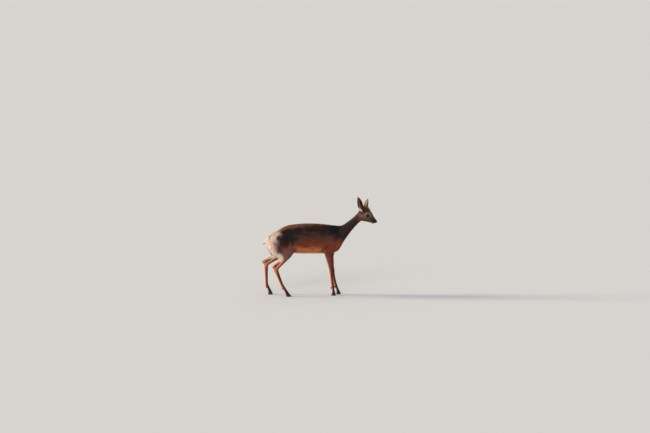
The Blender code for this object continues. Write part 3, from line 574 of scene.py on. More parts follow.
def cloudy(points, grain, seed):
    """Smooth noise about 0, of a given grain in metres along each axis."""
    offset = Vector((seed * 7.3, seed * 3.1, seed * 5.7))
    return np.array([noise.noise(Vector(point) + offset) for point in points / grain])


drift = cloudy(points, (0.03, 0.03, 0.03), 1) + 0.5 * cloudy(points, (0.012, 0.012, 0.012), 2)
mottle = cloudy(points, (0.007, 0.007, 0.007), 3)
swept = np.stack([0.9 * x - 0.45 * z, y, 0.45 * x + 0.9 * z], 1) * MM
down_streaks = cloudy(swept, (0.0085, 0.03, 0.034), 4) + 0.5 * cloudy(swept, (0.0042, 0.012, 0.019), 6)
back_streaks = cloudy(points, (0.034, 0.0075, 0.006), 5) + 0.5 * cloudy(points, (0.017, 0.004, 0.0035), 7)
edge = drift * 16

RED_STREAK_AND_LIT_TOP = paint(0.52, 0.31, 0.23)
SADDLE = paint(0.12, 0.085, 0.085)
GRIZZLE = paint(0.27, 0.18, 0.15)
FLANK = paint(0.42, 0.235, 0.165)
RUST = paint(0.53, 0.22, 0.13)
BELLY_AND_BOUNCE_LIGHT = paint(0.84, 0.50, 0.32)
CREAM = paint(0.98, 0.87, 0.77)
SHOULDER = paint(0.46, 0.25, 0.19)
CREASE_SHADE = paint(0.32, 0.12, 0.08)
CHEST = paint(0.64, 0.34, 0.22)
SLATE = paint(0.23, 0.19, 0.21)
THIGH = paint(0.50, 0.33, 0.28)
RUMP = paint(0.92, 0.83, 0.79)
RUMP_STREAK = paint(0.50, 0.37, 0.33)
CROUP = paint(0.53, 0.31, 0.21)
LEG = paint(0.52, 0.28, 0.20)
LEG_REAR_RIM_LIGHT = paint(0.93, 0.60, 0.40)
LEG_FRONT = paint(0.23, 0.10, 0.08)
PASTERN = paint(0.06, 0.045, 0.045)
NAPE = paint(0.20, 0.145, 0.135)
THROAT = paint(0.50, 0.20, 0.11)
FACE = paint(0.405, 0.29, 0.25)
CROWN = paint(0.22, 0.12, 0.095)
JAW = paint(0.42, 0.18, 0.11)
BRIDGE = paint(0.50, 0.26, 0.17)
SNOUT = paint(0.155, 0.085, 0.072)
BLACK = paint(0.05, 0.04, 0.04)
EAR_BACK = paint(0.42, 0.30, 0.24)
EAR_INSIDE = paint(0.54, 0.33, 0.30)
EAR_PAINTED_GLOW = paint(1.0, 0.83, 0.55)
EAR_SHADE = paint(0.12, 0.07, 0.075)

# Blotches of the haunch on both sides: middle x and z, half length, half height, how far the hair
# streaks break their edge, and the colour and its strength.
BLOTCHES = (
    (-156, 236, 46, 44, 0.5, THIGH, 0.95),
    (-160, 328, 42, 46, 0.9, SADDLE, 0.97),
    (-192, 308, 28, 40, 1.3, SADDLE, 0.9),
    (-213, 258, 17, 26, 1.3, SLATE, 0.9),
    (-190, 250, 13, 16, 1.3, RUMP_STREAK, 0.6),
    (-214, 212, 21, 24, 0.8, CREAM, 0.75),
    (-232, 205, 24, 30, 0.5, CREAM, 0.8),
)

flank_side = ramp(abs(normals[:, 1]), 0.15, 0.45)
body = Layers(FLANK, len(points))
body.lay(GRIZZLE, ramp(back_streaks, 0.05, 0.45) * 0.6)
body.lay(RUST, ramp(z + edge + back_streaks * 20, 306, 268) * 0.85)
shoulder_spot = np.hypot((x - 86) / 52, (z - 292) / 46) + back_streaks * 0.4
body.lay(SHOULDER, ramp(shoulder_spot, 1.25, 0.6) * 0.8)
body.lay(SHOULDER, ramp(x, 6, 24) * ramp(x, 86, 66) * ramp(z + edge, 262, 238) * 0.9)
body.lay(RUST, ramp(x, 40, 70) * ramp(z + edge, 285, 262) * 0.6)
# The belly's tan is partly its own colour and partly painted warm light bounced up from the ground.
belly = ramp(z + edge * 0.5 + back_streaks * 12, 288, 244)
belly *= ramp(x + edge, -158, -104) * ramp(x + edge, 46, -2)
body.lay(BELLY_AND_BOUNCE_LIGHT, belly)
# Painted shade in the crease at the elbow.
crease_run = np.clip(((x - 14) * 34 + (z - 246) * 26) / (34**2 + 26**2), 0, 1)
crease = np.hypot(x - 14 - crease_run * 34, z - 246 - crease_run * 26)
body.lay(CREASE_SHADE, ramp(crease, 9, 3) * flank_side * 0.6)
saddle_low = np.interp(x, (-230, -180, -60, 60, 130), (352, 338, 334, 334, 322))
saddle = ramp(z + edge + back_streaks * 24 - saddle_low, -16, 10) * ramp(x, -222, -196)
body.lay(GRIZZLE, ramp(z + edge - saddle_low, -36, -10) * ramp(x, -222, -196) * 0.7)
body.lay(SADDLE, saddle)
body.lay(BLACK, saddle * ramp(x, 55, 90) * ramp(x, 150, 120) * 0.85)
body.lay(RED_STREAK_AND_LIT_TOP, saddle * ramp(back_streaks + 0.4 * drift, 0.22, 0.5) * ramp(x, 70, 20) * 0.5)
for blot_x, blot_z, half_x, half_z, broken, colour, strength in BLOTCHES:
    off = np.hypot((x - blot_x) / half_x, (z - blot_z) / half_z) + broken * (down_streaks * 0.6 + drift * 0.2)
    body.lay(colour, ramp(off, 1.2, 0.75) * strength * (x < -100) * on_torso)

rump_edge = np.interp(z, (180, 205, 225, 260, 300, 340, 365), (-190, -204, -222, -233, -228, -216, -200))
on_rump = on("torso", "tail")
rump = ramp(rump_edge - x + edge * 0.6 + down_streaks * 42, -12, 14) * on_rump
body.lay(RUMP, rump * 0.96)
peppered = rump * on_torso * ramp(z + edge, 262, 290) * ramp(x, -285, -262)
body.lay(RUMP_STREAK, peppered * ramp(down_streaks + 0.3 * drift, 0.08, 0.34) * 0.8)
black_hairs = peppered * ramp(down_streaks - 0.2 * drift, 0.3, 0.5) * ramp(x, -262, -236)
body.lay(SADDLE, black_hairs * 0.85)
body.lay(CREAM, rump * ramp(z + edge, 282, 238))
croup = ramp(z - np.interp(x, (-300, -270, -230, -190, -150), (318, 326, 349, 367, 376)) + edge * 0.5, -10, 8)
body.lay(CROUP, croup * ramp(x, -140, -190) * on_torso * 0.9)
# Painted sunlight: a reddish-brown band along the top of the back where the skin faces up, wider toward the
# rump.
spine_edge = np.interp(x, (-190, -60, 40, 90), (0.62, 0.74, 0.92, 0.98))
spine = ramp(normals[:, 2] + drift * 0.1 - spine_edge, -0.1, 0.1) * on_torso * ramp(z, 340, 362)
body.lay(RED_STREAK_AND_LIT_TOP, spine * ramp(x, 110, 40) * 0.85)
body.lay(CROUP, ramp(normals[:, 2], 0.2, 0.7) * on("tail") * 0.25)
breast = ramp(normals[:, 0], 0.2, 0.7) * on_torso * ramp(x, 70, 95) * ramp(z, 345, 300)
body.lay(CHEST, breast * 0.8)
body.lay(CREAM, ramp(-normals[:, 2], 0.75, 0.97) * on_torso * ramp(z, 262, 240))

# The neck is dark with a rusty front edge, from its own normals.
on_neck = ramp(x, 100, 132) * on("torso", "neck")
throat = normals @ np.array([0.7, 0.0, -0.7])
body.lay(NAPE, on_neck * ramp(throat + drift * 0.2, 0.75, 0.2))
body.lay(GRIZZLE, on_neck * ramp(back_streaks, 0.1, 0.4) * ramp(throat, 0.6, 0.1) * 0.6)
body.lay(THROAT, on_neck * ramp(throat + drift * 0.2, 0.45, 0.85) * 0.9)

# The legs: brown, with painted rim light in pale tan along their rear edges, dark fronts below the knee and
# hock, and black pasterns.
for node in FLESH[6:]:
    own = on(node)
    body.lay(LEG, own * ramp(z, 232, 200) * (0.9 if "fore" in node else 0.75))
    if node.startswith("hind") and node.endswith("upper"):
        # Painted rim light: pale tan on the rear of each upper hind leg, where the low key strikes.
        behind = own * ramp(forward + drift * 0.2, 0.3, -0.2) * ramp(z, 215, 180)
        body.lay(LEG_REAR_RIM_LIGHT, behind * 0.85)
        body.lay(CREAM, own * ramp(z, 176, 198) * ramp(forward, 0.0, -0.5) * 0.8)
    dark = ramp(forward + drift * 0.25, -0.15, 0.45) * ramp(z, 175, 110)
    body.lay(LEG_FRONT, own * dark * 0.92)
    # Painted rim light on the rear of each fetlock.
    body.lay(LEG_REAR_RIM_LIGHT, own * ramp(forward + drift * 0.15, -0.3, -0.7) * ramp(z, 26, 40))
    body.lay(PASTERN, own * ramp(forward + drift * 0.2, -0.45, 0.05) * ramp(z, 64, 40))
    body.lay(PASTERN, own * ramp(z, 24, 18) * 0.8)
# Painted shade in the hollow above each heel, on the sides of the leg.
body.lay(CREASE_SHADE, heel_hollow(points / MM, parts) * ramp(abs(normals[:, 1]), 0.4, 0.75) * 0.85)

# Each ear's root in the head's frame, the way to its tip, and the way its cup opens.
EARS = {
    "right": ((9, -13, 37), (-0.27, -0.22, 0.94), (0.42, -0.86, 0.0)),
    "left": ((9, 13, 37), (0.295, 0.67, 0.61), (0.8, -0.55, 0.2)),
}

# The head: grizzled above, browner on the jaw, dark at the snout, with a thin pale ring round each
# eye and the black pit of the scent gland before it.
hx, hy, hz = head_points.T
face = Layers(FACE, len(points))
face.lay(NAPE, ramp(hx, 14, -12))
face.lay(CROWN, ramp(hz + drift * 6, 34, 43) * ramp(hx, 44, 28) * 0.9)
face.lay(JAW, ramp(hz + drift * 5, 14, 2) * ramp(hx, 0, 16) * 0.85)
face.lay(CREAM, ramp(hz, -1, -9) * ramp(hx, 18, 30) * 0.35)
face.lay(BRIDGE, ramp(hx, 50, 64) * ramp(abs(hy), 8, 3) * ramp(hz, 22, 30) * 0.75)
face.lay(SNOUT, ramp(hx + drift * 4 - 0.4 * (hz - 15), 55, 78) * 0.92)
face.lay(CREAM, ramp(hx, 62, 70) * ramp(hz, 8.5, 6) * ramp(hx, 90, 82) * 0.3)
for side in ("right", "left"):
    eye = in_head([EYE_CENTRES[side]])[0]
    from_eye = np.linalg.norm(head_points - eye, axis=1)
    brow = ramp(hz - eye[2], -4, 6)
    face.lay(CREAM, ramp(from_eye + drift, 16.0 + 1.0 * brow, 13.8) * (0.08 + 0.13 * brow))
    face.lay(BLACK, ramp(from_eye, 13.0, 12.2) * 0.9)
    from_ear = np.linalg.norm(head_points - EARS[side][0], axis=1)
    face.lay(CROWN, ramp(from_ear + drift * 3, 19, 11) * 0.85)
    nostril = (97.3, -6.5 if side == "right" else 6.5, 19.2)
    rim = np.linalg.norm((head_points - nostril) / (7, 5, 5), axis=1)
    face.lay(BLACK, ramp(rim, 1.1, 0.7) * 0.9)
face.lay(BLACK, ramp(gland_distance(head_points), 1.3, 0.8))
lip_gap = abs(hz - np.interp(hx, *MOUTH_LINE))
face.lay(BLACK, ramp(lip_gap, 1.6, 0.7) * ramp(hx, 60, 64) * 0.9)
face.lay(BLACK, ramp(hx, 95, 98.5) * 0.9)
pelt = np.where(on_head[:, None], face.rows, body.rows)

# The ears: brown backs, mauve-brown cups with painted shade toward the front, pale hair at the root behind,
# and a dark rim and tip. The left ear's cup is painted bright gold instead: a painted glow of the key light
# shining through the thin ear.
EAR_LENGTH = 92 * MM
EAR_HALF_WIDTH = (
    (0.0, 0.18, 0.3, 0.42, 0.55, 0.67, 0.78, 0.87, 0.94, 1.0),
    (6.0, 10.6, 15.4, 16.8, 16.6, 14.6, 11.4, 7.8, 4.4, 0.8),
)
in_cup = np.zeros(len(points))
for side, (root, tip, opening) in EARS.items():
    ear_root = np.array(HEAD @ (Vector(root) * MM))
    up = Vector(tip).normalized()
    ahead = Vector(opening)
    ahead = (ahead - up * ahead.dot(up)).normalized()
    wide = np.array(up.cross(ahead))
    up, ahead = np.array(up), np.array(ahead)
    along = (points - ear_root) @ up / EAR_LENGTH
    across = (points - ear_root) @ wide / MM / np.interp(along, *EAR_HALF_WIDTH)
    own = on(f"ear_{side}")
    inside = ramp(normals @ ahead, -0.05, 0.35) * ramp(abs(across), 1.02, 0.86) * own
    in_cup = np.maximum(in_cup, inside)
    # The left ear's cup takes a painted glow in place of its own colour.
    inside_or_glow = EAR_INSIDE if side == "right" else EAR_PAINTED_GLOW
    ear = Layers(EAR_BACK, len(points))
    ear.lay(NAPE, ramp(along, 0.35, 0.1))
    ear.lay(inside_or_glow, inside)
    # Painted shade over the front part of each cup.
    shade_from = 0.05 if side == "right" else 0.3
    ear.lay(EAR_SHADE, inside * ramp(across + mottle * 0.3 - shade_from, 0, 0.35) * 0.92)
    root_hair = ramp(along, 0.06, 0.13) * ramp(along, 0.36, 0.26) * ramp(across, -0.15, -0.45)
    ear.lay(EAR_SHADE, ramp(abs(across), 0.62, 0.86) * ramp(along, 0.28, 0.42) * 0.92)
    ear.lay(BLACK, ramp(abs(across), 0.86, 0.98) * ramp(along, 0.34, 0.46) * 0.8)
    ear.lay(BLACK, ramp(along, 0.82, 0.95) * 0.92)
    ear.lay(CREAM, root_hair)
    pelt = np.where(own[:, None], ear.rows, pelt)

pelt = spread(pelt, edges, 1)
pelt *= (1 + 0.2 * mottle + 0.08 * drift)[:, None]
pelt = np.clip(pelt, 0.002, 0.96)


# The skin's finish: short flat hair in the markings' colours, with a fine grain of strands that runs
# with the lie of each part. It shows between the tufts, and most on the face and the feet.

class Paint:
    """A node socket that adds Math nodes as expressions are written on it."""

    def __init__(self, tree, socket):
        self.tree, self.socket = tree, socket

    def sum_node(self, operation, *values):
        node = self.tree.nodes.new("ShaderNodeMath")
        node.operation = operation
        for slot, value in zip(node.inputs, values):
            if isinstance(value, Paint):
                self.tree.links.new(value.socket, slot)
            else:
                slot.default_value = value
        return Paint(self.tree, node.outputs[0])

    def __add__(self, other):
        return self.sum_node("ADD", self, other)

    def __radd__(self, other):
        return self.sum_node("ADD", other, self)

    def __sub__(self, other):
        return self.sum_node("SUBTRACT", self, other)

    def __rsub__(self, other):
        return self.sum_node("SUBTRACT", other, self)

    def __mul__(self, other):
        return self.sum_node("MULTIPLY", self, other)

    def __rmul__(self, other):
        return self.sum_node("MULTIPLY", other, self)


class Finish:
    """A material under way: its node tree, its shader, and one way to add any node."""

    def __init__(self, name, **constants):
        self.material = bpy.data.materials.new(name)
        self.material.use_nodes = True
        self.tree = self.material.node_tree
        self.shader = self.tree.nodes["Principled BSDF"]
        for socket, value in constants.items():
            self.shader.inputs[socket.replace("_", " ")].default_value = value

    def node(self, kind, settings=None, output=0, **sockets):
        node = self.tree.nodes.new(kind)
        for name, value in (settings or {}).items():
            if name == "stops":
                ramp_stops = node.color_ramp.elements
                while len(ramp_stops) < len(value):
                    ramp_stops.new(0.5)
                for stop, (place, colour) in zip(ramp_stops, value):
                    stop.position, stop.color = place, colour
            else:
                setattr(node, name, value)
        for name, value in sockets.items():
            # A socket is given by its name, or by its number after an i.
            numbered = name[0] == "i" and name[1:].isdigit()
            slot = node.inputs[int(name[1:]) if numbered else name.replace("_", " ")]
            if isinstance(value, Paint):
                self.tree.links.new(value.socket, slot)
            else:
                slot.default_value = value
        return Paint(self.tree, node.outputs[output])

    def into(self, socket, paint):
        self.tree.links.new(paint.socket, self.shader.inputs[socket])


def tinted(finish, colour, factor):
    """A colour made lighter or darker by a factor that changes over the surface."""
    return finish.node(
        "ShaderNodeMix",
        {"data_type": "RGBA", "blend_type": "MULTIPLY"},
        output=2,
        i0=1.0,
        i6=colour,
        i7=finish.node("ShaderNodeCombineColor", Red=factor, Green=factor, Blue=factor),
    )


short_hair = Finish("short_hair", Roughness=0.72, Specular_IOR_Level=0.18)
pelt_colour = short_hair.node("ShaderNodeAttribute", {"attribute_name": "pelt"})
combed = short_hair.node("ShaderNodeAttribute", {"attribute_name": "combed"}, output=1)
strands = short_hair.node("ShaderNodeTexNoise", Vector=combed, Scale=1500.0, Detail=2.0, Roughness=0.6)
wisps = short_hair.node("ShaderNodeTexNoise", Vector=combed, Scale=420.0, Detail=2.0, Roughness=0.5)
grain = strands * 0.6 + wisps * 0.4
short_hair.into("Base Color", tinted(short_hair, pelt_colour, grain * 1.3 + 0.3))
short_hair.into("Normal", short_hair.node("ShaderNodeBump", Strength=0.55, Distance=0.0006, Height=grain))
short_hair.into("Roughness", 0.9 - grain * 0.35)
skin.data.materials.clear()
skin.data.materials.append(short_hair.material)

# Hair grain is drawn out along the lie of each part.
part_middles = np.array([sum(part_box(n), Vector()) / 2 for n in FLESH])
local = points - part_middles[parts]
run = (local * unit_axes[parts]).sum(1)[:, None]
combed_rows = local - unit_axes[parts] * run * 0.88
skin.data.attributes.new("combed", "FLOAT_VECTOR", "POINT").data.foreach_set(
    "vector", combed_rows.astype(np.float32).ravel()
)


def give_pelt(mesh, colours):
    layer = mesh.attributes.new("pelt", "FLOAT_COLOR", "POINT")
    layer.data.foreach_set(
        "color", np.hstack([colours, np.ones((len(colours), 1))]).astype(np.float32).ravel()
    )


# The skin under the coat is painted a tenth darker than the markings: painted shade beneath the hair.
give_pelt(skin.data, pelt * 0.9)
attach(skin, "root")
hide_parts(*FLESH)


# The coat: many thousand thin tufts, each a closed blade with its root in the skin, that lies along the
# body and overlaps the next. Each takes the marking at its root, with painted shade darkening it below, and
# is banded at the tip.
# The blades are worked out as arrays, because the operators take far too long over so many.

long_hair = Finish("long_hair", Roughness=0.62, Specular_IOR_Level=0.2)
hair_colour = long_hair.node("ShaderNodeAttribute", {"attribute_name": "pelt"})
place = long_hair.node("ShaderNodeTexCoord", output=3)
speckle = long_hair.node("ShaderNodeTexNoise", Vector=place, Scale=700.0, Detail=1.0, Roughness=0.5)
long_hair.into("Base Color", tinted(long_hair, hair_colour, speckle * 0.5 + 0.75))
long_hair.into("Roughness", speckle * 0.25 + 0.5)

TUFT_FACES = np.array([
    (0, 2, 1), (0, 1, 4), (0, 4, 3), (1, 2, 5), (1, 5, 4),
    (2, 0, 3), (2, 3, 5), (3, 4, 6), (4, 5, 6), (5, 3, 6),
])
ROOT_SUNK = 0.5 * MM
# How high the tip stands, as a share of a tuft's rise.
TIP_RISE = 0.62
UV_PATCH = 0.003
# Across the patch, then along it, for the seven points of a tuft.
TUFT_PATCH = np.array([(-0.5, 0), (0.5, 0), (0, 0), (-0.5, 0.5), (0.5, 0.5), (0, 0.5), (0, 1)])


def tufts(name, roots, colours, map_places, finish):
    """One mesh of many tufts. roots holds for each its place, normal, lie, length, width, rise and bend."""
    place, normal, lie = roots["place"], roots["normal"], roots["lie"]
    length, width = roots["length"][:, None], roots["width"][:, None]
    rise, bend = roots["rise"][:, None], roots["bend"][:, None]
    side = np.cross(normal, lie)
    upper = unit(normal - lie * rise * TIP_RISE)
    start = place - normal * ROOT_SUNK
    middle = place + lie * length * 0.5 + normal * length * rise * 0.42 + side * bend * length * 0.12
    tip = place + lie * length + normal * length * rise * TIP_RISE + side * bend * length * 0.42
    half, thick = width / 2, width * 0.34
    corners = np.stack([
        start - side * half, start + side * half, start + normal * (thick + ROOT_SUNK),
        middle - side * half * 0.85, middle + side * half * 0.85, middle + upper * thick, tip,
    ], 1)
    outward = unit(np.stack([
        upper - side * 0.5, upper + side * 0.5, upper,
        upper - side * 0.5, upper + side * 0.5, upper, upper + lie * 0.3,
    ], 1))
    count = len(place)
    faces = (TUFT_FACES[None] + 7 * np.arange(count)[:, None, None]).reshape(-1, 3)
    mesh = bpy.data.meshes.new(name)
    mesh.vertices.add(count * 7)
    mesh.vertices.foreach_set("co", corners.astype(np.float32).ravel())
    mesh.loops.add(len(faces) * 3)
    mesh.loops.foreach_set("vertex_index", faces.astype(np.int32).ravel())
    mesh.polygons.add(len(faces))
    mesh.polygons.foreach_set("loop_start", np.arange(len(faces), dtype=np.int32) * 3)
    mesh.update(calc_edges=True)
    mesh.shade_smooth()
    map_rows = (map_places[:, None] + TUFT_PATCH[None] * UV_PATCH).reshape(-1, 2)
    map_rows = map_rows[faces.ravel()].astype(np.float32)
    mesh.uv_layers.new(name="OFBake").data.foreach_set("uv", map_rows.ravel())
    give_pelt(mesh, colours.reshape(-1, 3))
    mesh.normals_split_custom_set_from_vertices(outward.reshape(-1, 3).astype(np.float32))
    mesh.materials.append(finish.material)
    piece = placed(name, mesh)
    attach(piece, "root")


def banded(base, draw, dark_tip, pale_tip):
    """The seven colours of each tuft: shaded at the root, its own tone along it, and a dark or pale tip."""
    count = len(base)
    tone = draw.normal(1.0, 0.17, count).clip(0.55, 1.6)[:, None]
    pick = draw.random(count)[:, None]
    tip = np.where(pick > 1 - pale_tip[:, None], base * 1.5 + 0.03, base * 1.08)
    tip = np.where(pick < dark_tip[:, None], base * 0.5, tip)
    # Painted shade among the hairs: the root is darker, less so for pale hair.
    root = base * (0.6 + 0.25 * base.mean(1, keepdims=True))
    rows = np.stack([root, root, root * 1.05, base, base, base * 1.1, tip], 1) * tone[:, None]
    return np.clip(rows, 0.002, 0.95)


def cylinder_map(place, axis, inside=None):
    """The roots' places on an unwrap of the part round its own length, inside the unit square."""
    axis = unit(axis)
    local = place - (place.max(0) + place.min(0)) / 2
    side = unit(np.cross(axis, (0, 0, 1) if abs(axis[2]) < 0.9 else (1, 0, 0)))
    top = np.cross(side, axis)
    along = local @ axis
    angle = np.arctan2(local @ side, local @ top) / math.tau + 0.5
    if inside is not None:
        angle = (angle + inside) / 2
    along = (along - along.min()) / (along.max() - along.min())
    return np.stack([angle, along], 1) * (0.99 - 2 * UV_PATCH) + 0.005


skin.data.calc_loop_triangles()
triangles = np.empty(len(skin.data.loop_triangles) * 3, np.int32)
skin.data.loop_triangles.foreach_get("vertices", triangles)
triangles = triangles.reshape(-1, 3)
corner = points[triangles]
area = np.linalg.norm(np.cross(corner[:, 1] - corner[:, 0], corner[:, 2] - corner[:, 0]), axis=1) / 2

# No hair grows inside the eye sockets and nostrils, on the nose, or over the lids' edges.
bare = np.zeros(len(points), bool)
for side in ("right", "left"):
    aim, _, _ = eye_axes(side)
    from_eye = points - np.array(EYE_CENTRES[side])
    distance = np.linalg.norm(from_eye, axis=1)
    bare |= distance < EYE_RADIUS + 0.45 * MM
    bare |= (distance < EYE_RADIUS + 3 * MM) & (from_eye @ np.array(aim) > distance * 0.74)
bare |= on_head & (hx > 96.5)
bare |= on_head & (lip_gap < 1.2) & (hx > 60)
bare |= (z < 17.6) & (parts >= 6)
share = (count * 1e4)[triangles].mean(1) * area * ~bare[triangles].any(1)
total = int(share.sum())
draw = np.random.default_rng(11)
steps = (np.arange(total) + draw.random(total)) / total
chosen = np.searchsorted(np.cumsum(share) / share.sum(), steps).clip(0, len(triangles) - 1)
first, second = draw.random(total), draw.random(total)
flipped = first + second > 1
first, second = np.where(flipped, 1 - first, first), np.where(flipped, 1 - second, second)
weights = np.stack([1 - first - second, first, second], 1)


def at_roots(values):
    """A value of the skin's points, at each tuft's root."""
    values = values if values.ndim > 1 else values[:, None]
    found = (values[triangles[chosen]] * weights[:, :, None]).sum(1)
    return found if found.shape[1] > 1 else found[:, 0]


root_normal = unit(at_roots(normals))
root_lie = at_roots(lie) + draw.normal(0, 0.13, (total, 3))
root_lie = unit(root_lie - root_normal * (root_lie * root_normal).sum(1)[:, None])
everywhere = {
    "place": at_roots(points),
    "normal": root_normal,
    "lie": root_lie,
    "length": at_roots(length) * MM * draw.uniform(0.7, 1.2, total),
    "width": at_roots(width) * MM * draw.uniform(0.75, 1.25, total),
    "rise": at_roots(rise) * draw.uniform(0.6, 1.5, total),
    "bend": draw.normal(0, 0.5, total),
}
root_pelt = at_roots(pelt)
root_part = parts[triangles[chosen, 0]]
back_share = ramp(everywhere["place"][:, 2], 0.27, 0.34)
hair_colours = banded(root_pelt, draw, 0.12 + 0.12 * back_share, 0.1 + 0.2 * back_share)

groups = {"neck": ["neck"], "head": ["head"], "tail": ["tail"]}
for side in ("right", "left"):
    groups[f"ear_{side}"] = [f"ear_{side}"]
    for limb in ("fore", "hind"):
        groups[f"{limb}leg_{side}"] = [f"{limb}leg_{side}_upper", f"{limb}leg_{side}_lower"]
coat_sets = []
for group, nodes in groups.items():
    rows = np.flatnonzero(np.isin(root_part, [FLESH.index(n) for n in nodes]))
    coat_sets.append((f"coat_{group}", rows, part_axes[FLESH.index(nodes[-1])]))
torso_rows = np.flatnonzero(root_part == FLESH.index("torso"))
torso_rows = torso_rows[np.argsort(everywhere["place"][torso_rows, 0])]
stretches = ["rump", "thighs", "loin", "ribs", "shoulders"]
for stretch, rows in zip(stretches, np.array_split(torso_rows, len(stretches))):
    coat_sets.append((f"coat_{stretch}", rows, part_axes[0]))
for name, rows, axis in coat_sets:
    inside = at_roots(in_cup)[rows] > 0.5 if "ear" in name else None
    map_places = cylinder_map(everywhere["place"][rows], axis, inside)
    tufts(name, {k: v[rows] for k, v in everywhere.items()}, hair_colours[rows], map_places, long_hair)


# The eyes: large dark balls, wet and glossy, each with a brown iris round a level pupil. Each is a
# whole ball that fills its socket behind the lids.

eyeball = Finish("eyeball", Roughness=0.04, Specular_IOR_Level=0.3)
eyeball.into("Base Color", eyeball.node("ShaderNodeAttribute", {"attribute_name": "pelt"}))
PUPIL, IRIS, IRIS_EDGE = paint(0.01, 0.01, 0.012), paint(0.11, 0.06, 0.035), paint(0.03, 0.02, 0.018)
for side in ("right", "left"):
    aim, ahead, up = eye_axes(side)
    shape = bmesh.new()
    middle = Matrix.Translation(EYE_CENTRES[side])
    bmesh.ops.create_uvsphere(shape, u_segments=64, v_segments=40, radius=EYE_RADIUS, matrix=middle)
    eye_piece = piece_from(f"eyeball_{side}", shape)
    eye_piece.data.shade_smooth()
    offset = read(eye_piece.data, "co", 3) - np.array(EYE_CENTRES[side])
    run, rise_up = offset @ np.array(ahead) / EYE_RADIUS, offset @ np.array(up) / EYE_RADIUS
    iris = Layers(IRIS, len(offset))
    iris.lay(IRIS_EDGE, ramp(np.hypot(run, rise_up), 0.35, 0.72))
    iris.lay(PUPIL, ramp(np.hypot(run / 0.42, rise_up / 0.26), 1.15, 0.85))
    give_pelt(eye_piece.data, iris.rows)
    eye_piece.data.materials.append(eyeball.material)
    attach(eye_piece, "root")
    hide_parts(f"eye_{side}")


# The lids' edges: a bead of bare black skin round each eye, drawn along the edge of the opening, and
# stiff dark lashes set along the upper lid.

bare_skin = Finish("bare_skin", Roughness=0.38, Specular_IOR_Level=0.5)
bare_skin.shader.inputs["Base Color"].default_value = (*BLACK * 0.8, 1)
on_lid = bare_skin.node("ShaderNodeTexCoord", output=3)
pores = bare_skin.node("ShaderNodeTexNoise", Vector=on_lid, Scale=1800.0, Detail=2.0)
bare_skin.into("Normal", bare_skin.node("ShaderNodeBump", Strength=0.3, Distance=0.0003, Height=pores))
LID_BEAD, LID_POINTS = 0.62 * MM, 48
LASHES, LASH_LENGTH, LASH_WIDTH = 30, 3.6 * MM, 0.42 * MM


def lid_point(side, angle, size=0.98):
    """A point of the opening's edge, brought to the eyeball's surface."""
    aim, _, _ = eye_axes(side)
    offset = aim * LID_DISTANCE * MM + almond_point(side, angle, size)
    return EYE_CENTRES[side] + offset.normalized() * (EYE_RADIUS + 0.55 * MM)


for side in ("right", "left"):
    line = bpy.data.curves.new(f"lid_{side}", "CURVE")
    line.dimensions = "3D"
    line.bevel_depth, line.bevel_resolution = LID_BEAD, 3
    spline = line.splines.new("POLY")
    spline.points.add(LID_POINTS - 1)
    for point, angle in zip(spline.points, np.arange(LID_POINTS) * math.tau / LID_POINTS):
        point.co = (*lid_point(side, angle), 1)
    spline.use_cyclic_u = True
    bead = placed(f"lid_line_{side}", line)
    lid = placed(f"lid_{side}", made_mesh(bead))
    bpy.data.objects.remove(bead)
    lid.data.shade_smooth()
    lid.data.materials.clear()
    lid.data.materials.append(bare_skin.material)
    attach(lid, "root")

    aim, ahead, up = (np.array(v) for v in eye_axes(side))
    angles = np.radians(np.linspace(18, 158, LASHES))
    lash_roots = np.array([lid_point(side, a, 1.02) for a in angles]) + aim * 0.3 * MM
    outward = unit(lash_roots - np.array(EYE_CENTRES[side]))
    sweep = unit(aim * 0.9 + up * 0.75 + ahead * np.cos(angles)[:, None] * 0.5)
    lash = {
        "place": lash_roots,
        "normal": unit(np.cross(sweep, np.cross(up, sweep))),
        "lie": sweep,
        "length": LASH_LENGTH * draw.uniform(0.8, 1.15, LASHES),
        "width": np.full(LASHES, LASH_WIDTH),
        "rise": np.full(LASHES, 0.25),
        "bend": draw.normal(0, 0.25, LASHES),
    }
    lash_map = np.stack([np.linspace(0.02, 0.95, LASHES), np.full(LASHES, 0.5)], 1)
    tufts(f"lashes_{side}", lash, np.tile(BLACK, (LASHES, 7, 1)), lash_map, long_hair)


# The crest: a tuft of long coarse hair on the crown, from between the eyes to the ears. Each hair has
# its root in the skin and leans back, the longest in the middle.

CREST_HAIRS = 2400
CREST_REAR, CREST_FRONT, CREST_SUNK = 5, 50, 1.6
CREST_GREY = paint(0.56, 0.47, 0.42)
CREST_RUST = paint(0.50, 0.33, 0.24)
CREST_TIP = paint(0.22, 0.16, 0.14)
crest_draw = np.random.default_rng(5)
crest_x = crest_draw.uniform(CREST_REAR, CREST_FRONT, CREST_HAIRS)
crest_half = np.interp(crest_x, (5, 26, 50), (11, 11, 6))
crest_across = crest_draw.normal(0, 0.55, CREST_HAIRS).clip(-1, 1)
crest_y = crest_across * crest_half
crest_z = np.interp(crest_x, *SKULL_TOP) - SKULL_ROUND * crest_y**2 - CREST_SUNK
lean = np.radians(np.interp(crest_x, (5, 28, 50), (50, 34, 30)) + crest_draw.normal(0, 8, CREST_HAIRS))
sideways = 0.3 * crest_across + crest_draw.normal(0, 0.1, CREST_HAIRS)
crest_lie = unit(np.stack([-np.sin(lean), sideways, np.cos(lean)], 1))
crest_side = unit(np.cross(crest_lie, (0.0, 0, 1)))
crest_length = np.interp(crest_x, (5, 18, 34, 50), (20, 32, 36, 14)) * (1 - 0.5 * crest_across**2)
crest_length *= crest_draw.uniform(0.6, 1.1, CREST_HAIRS)
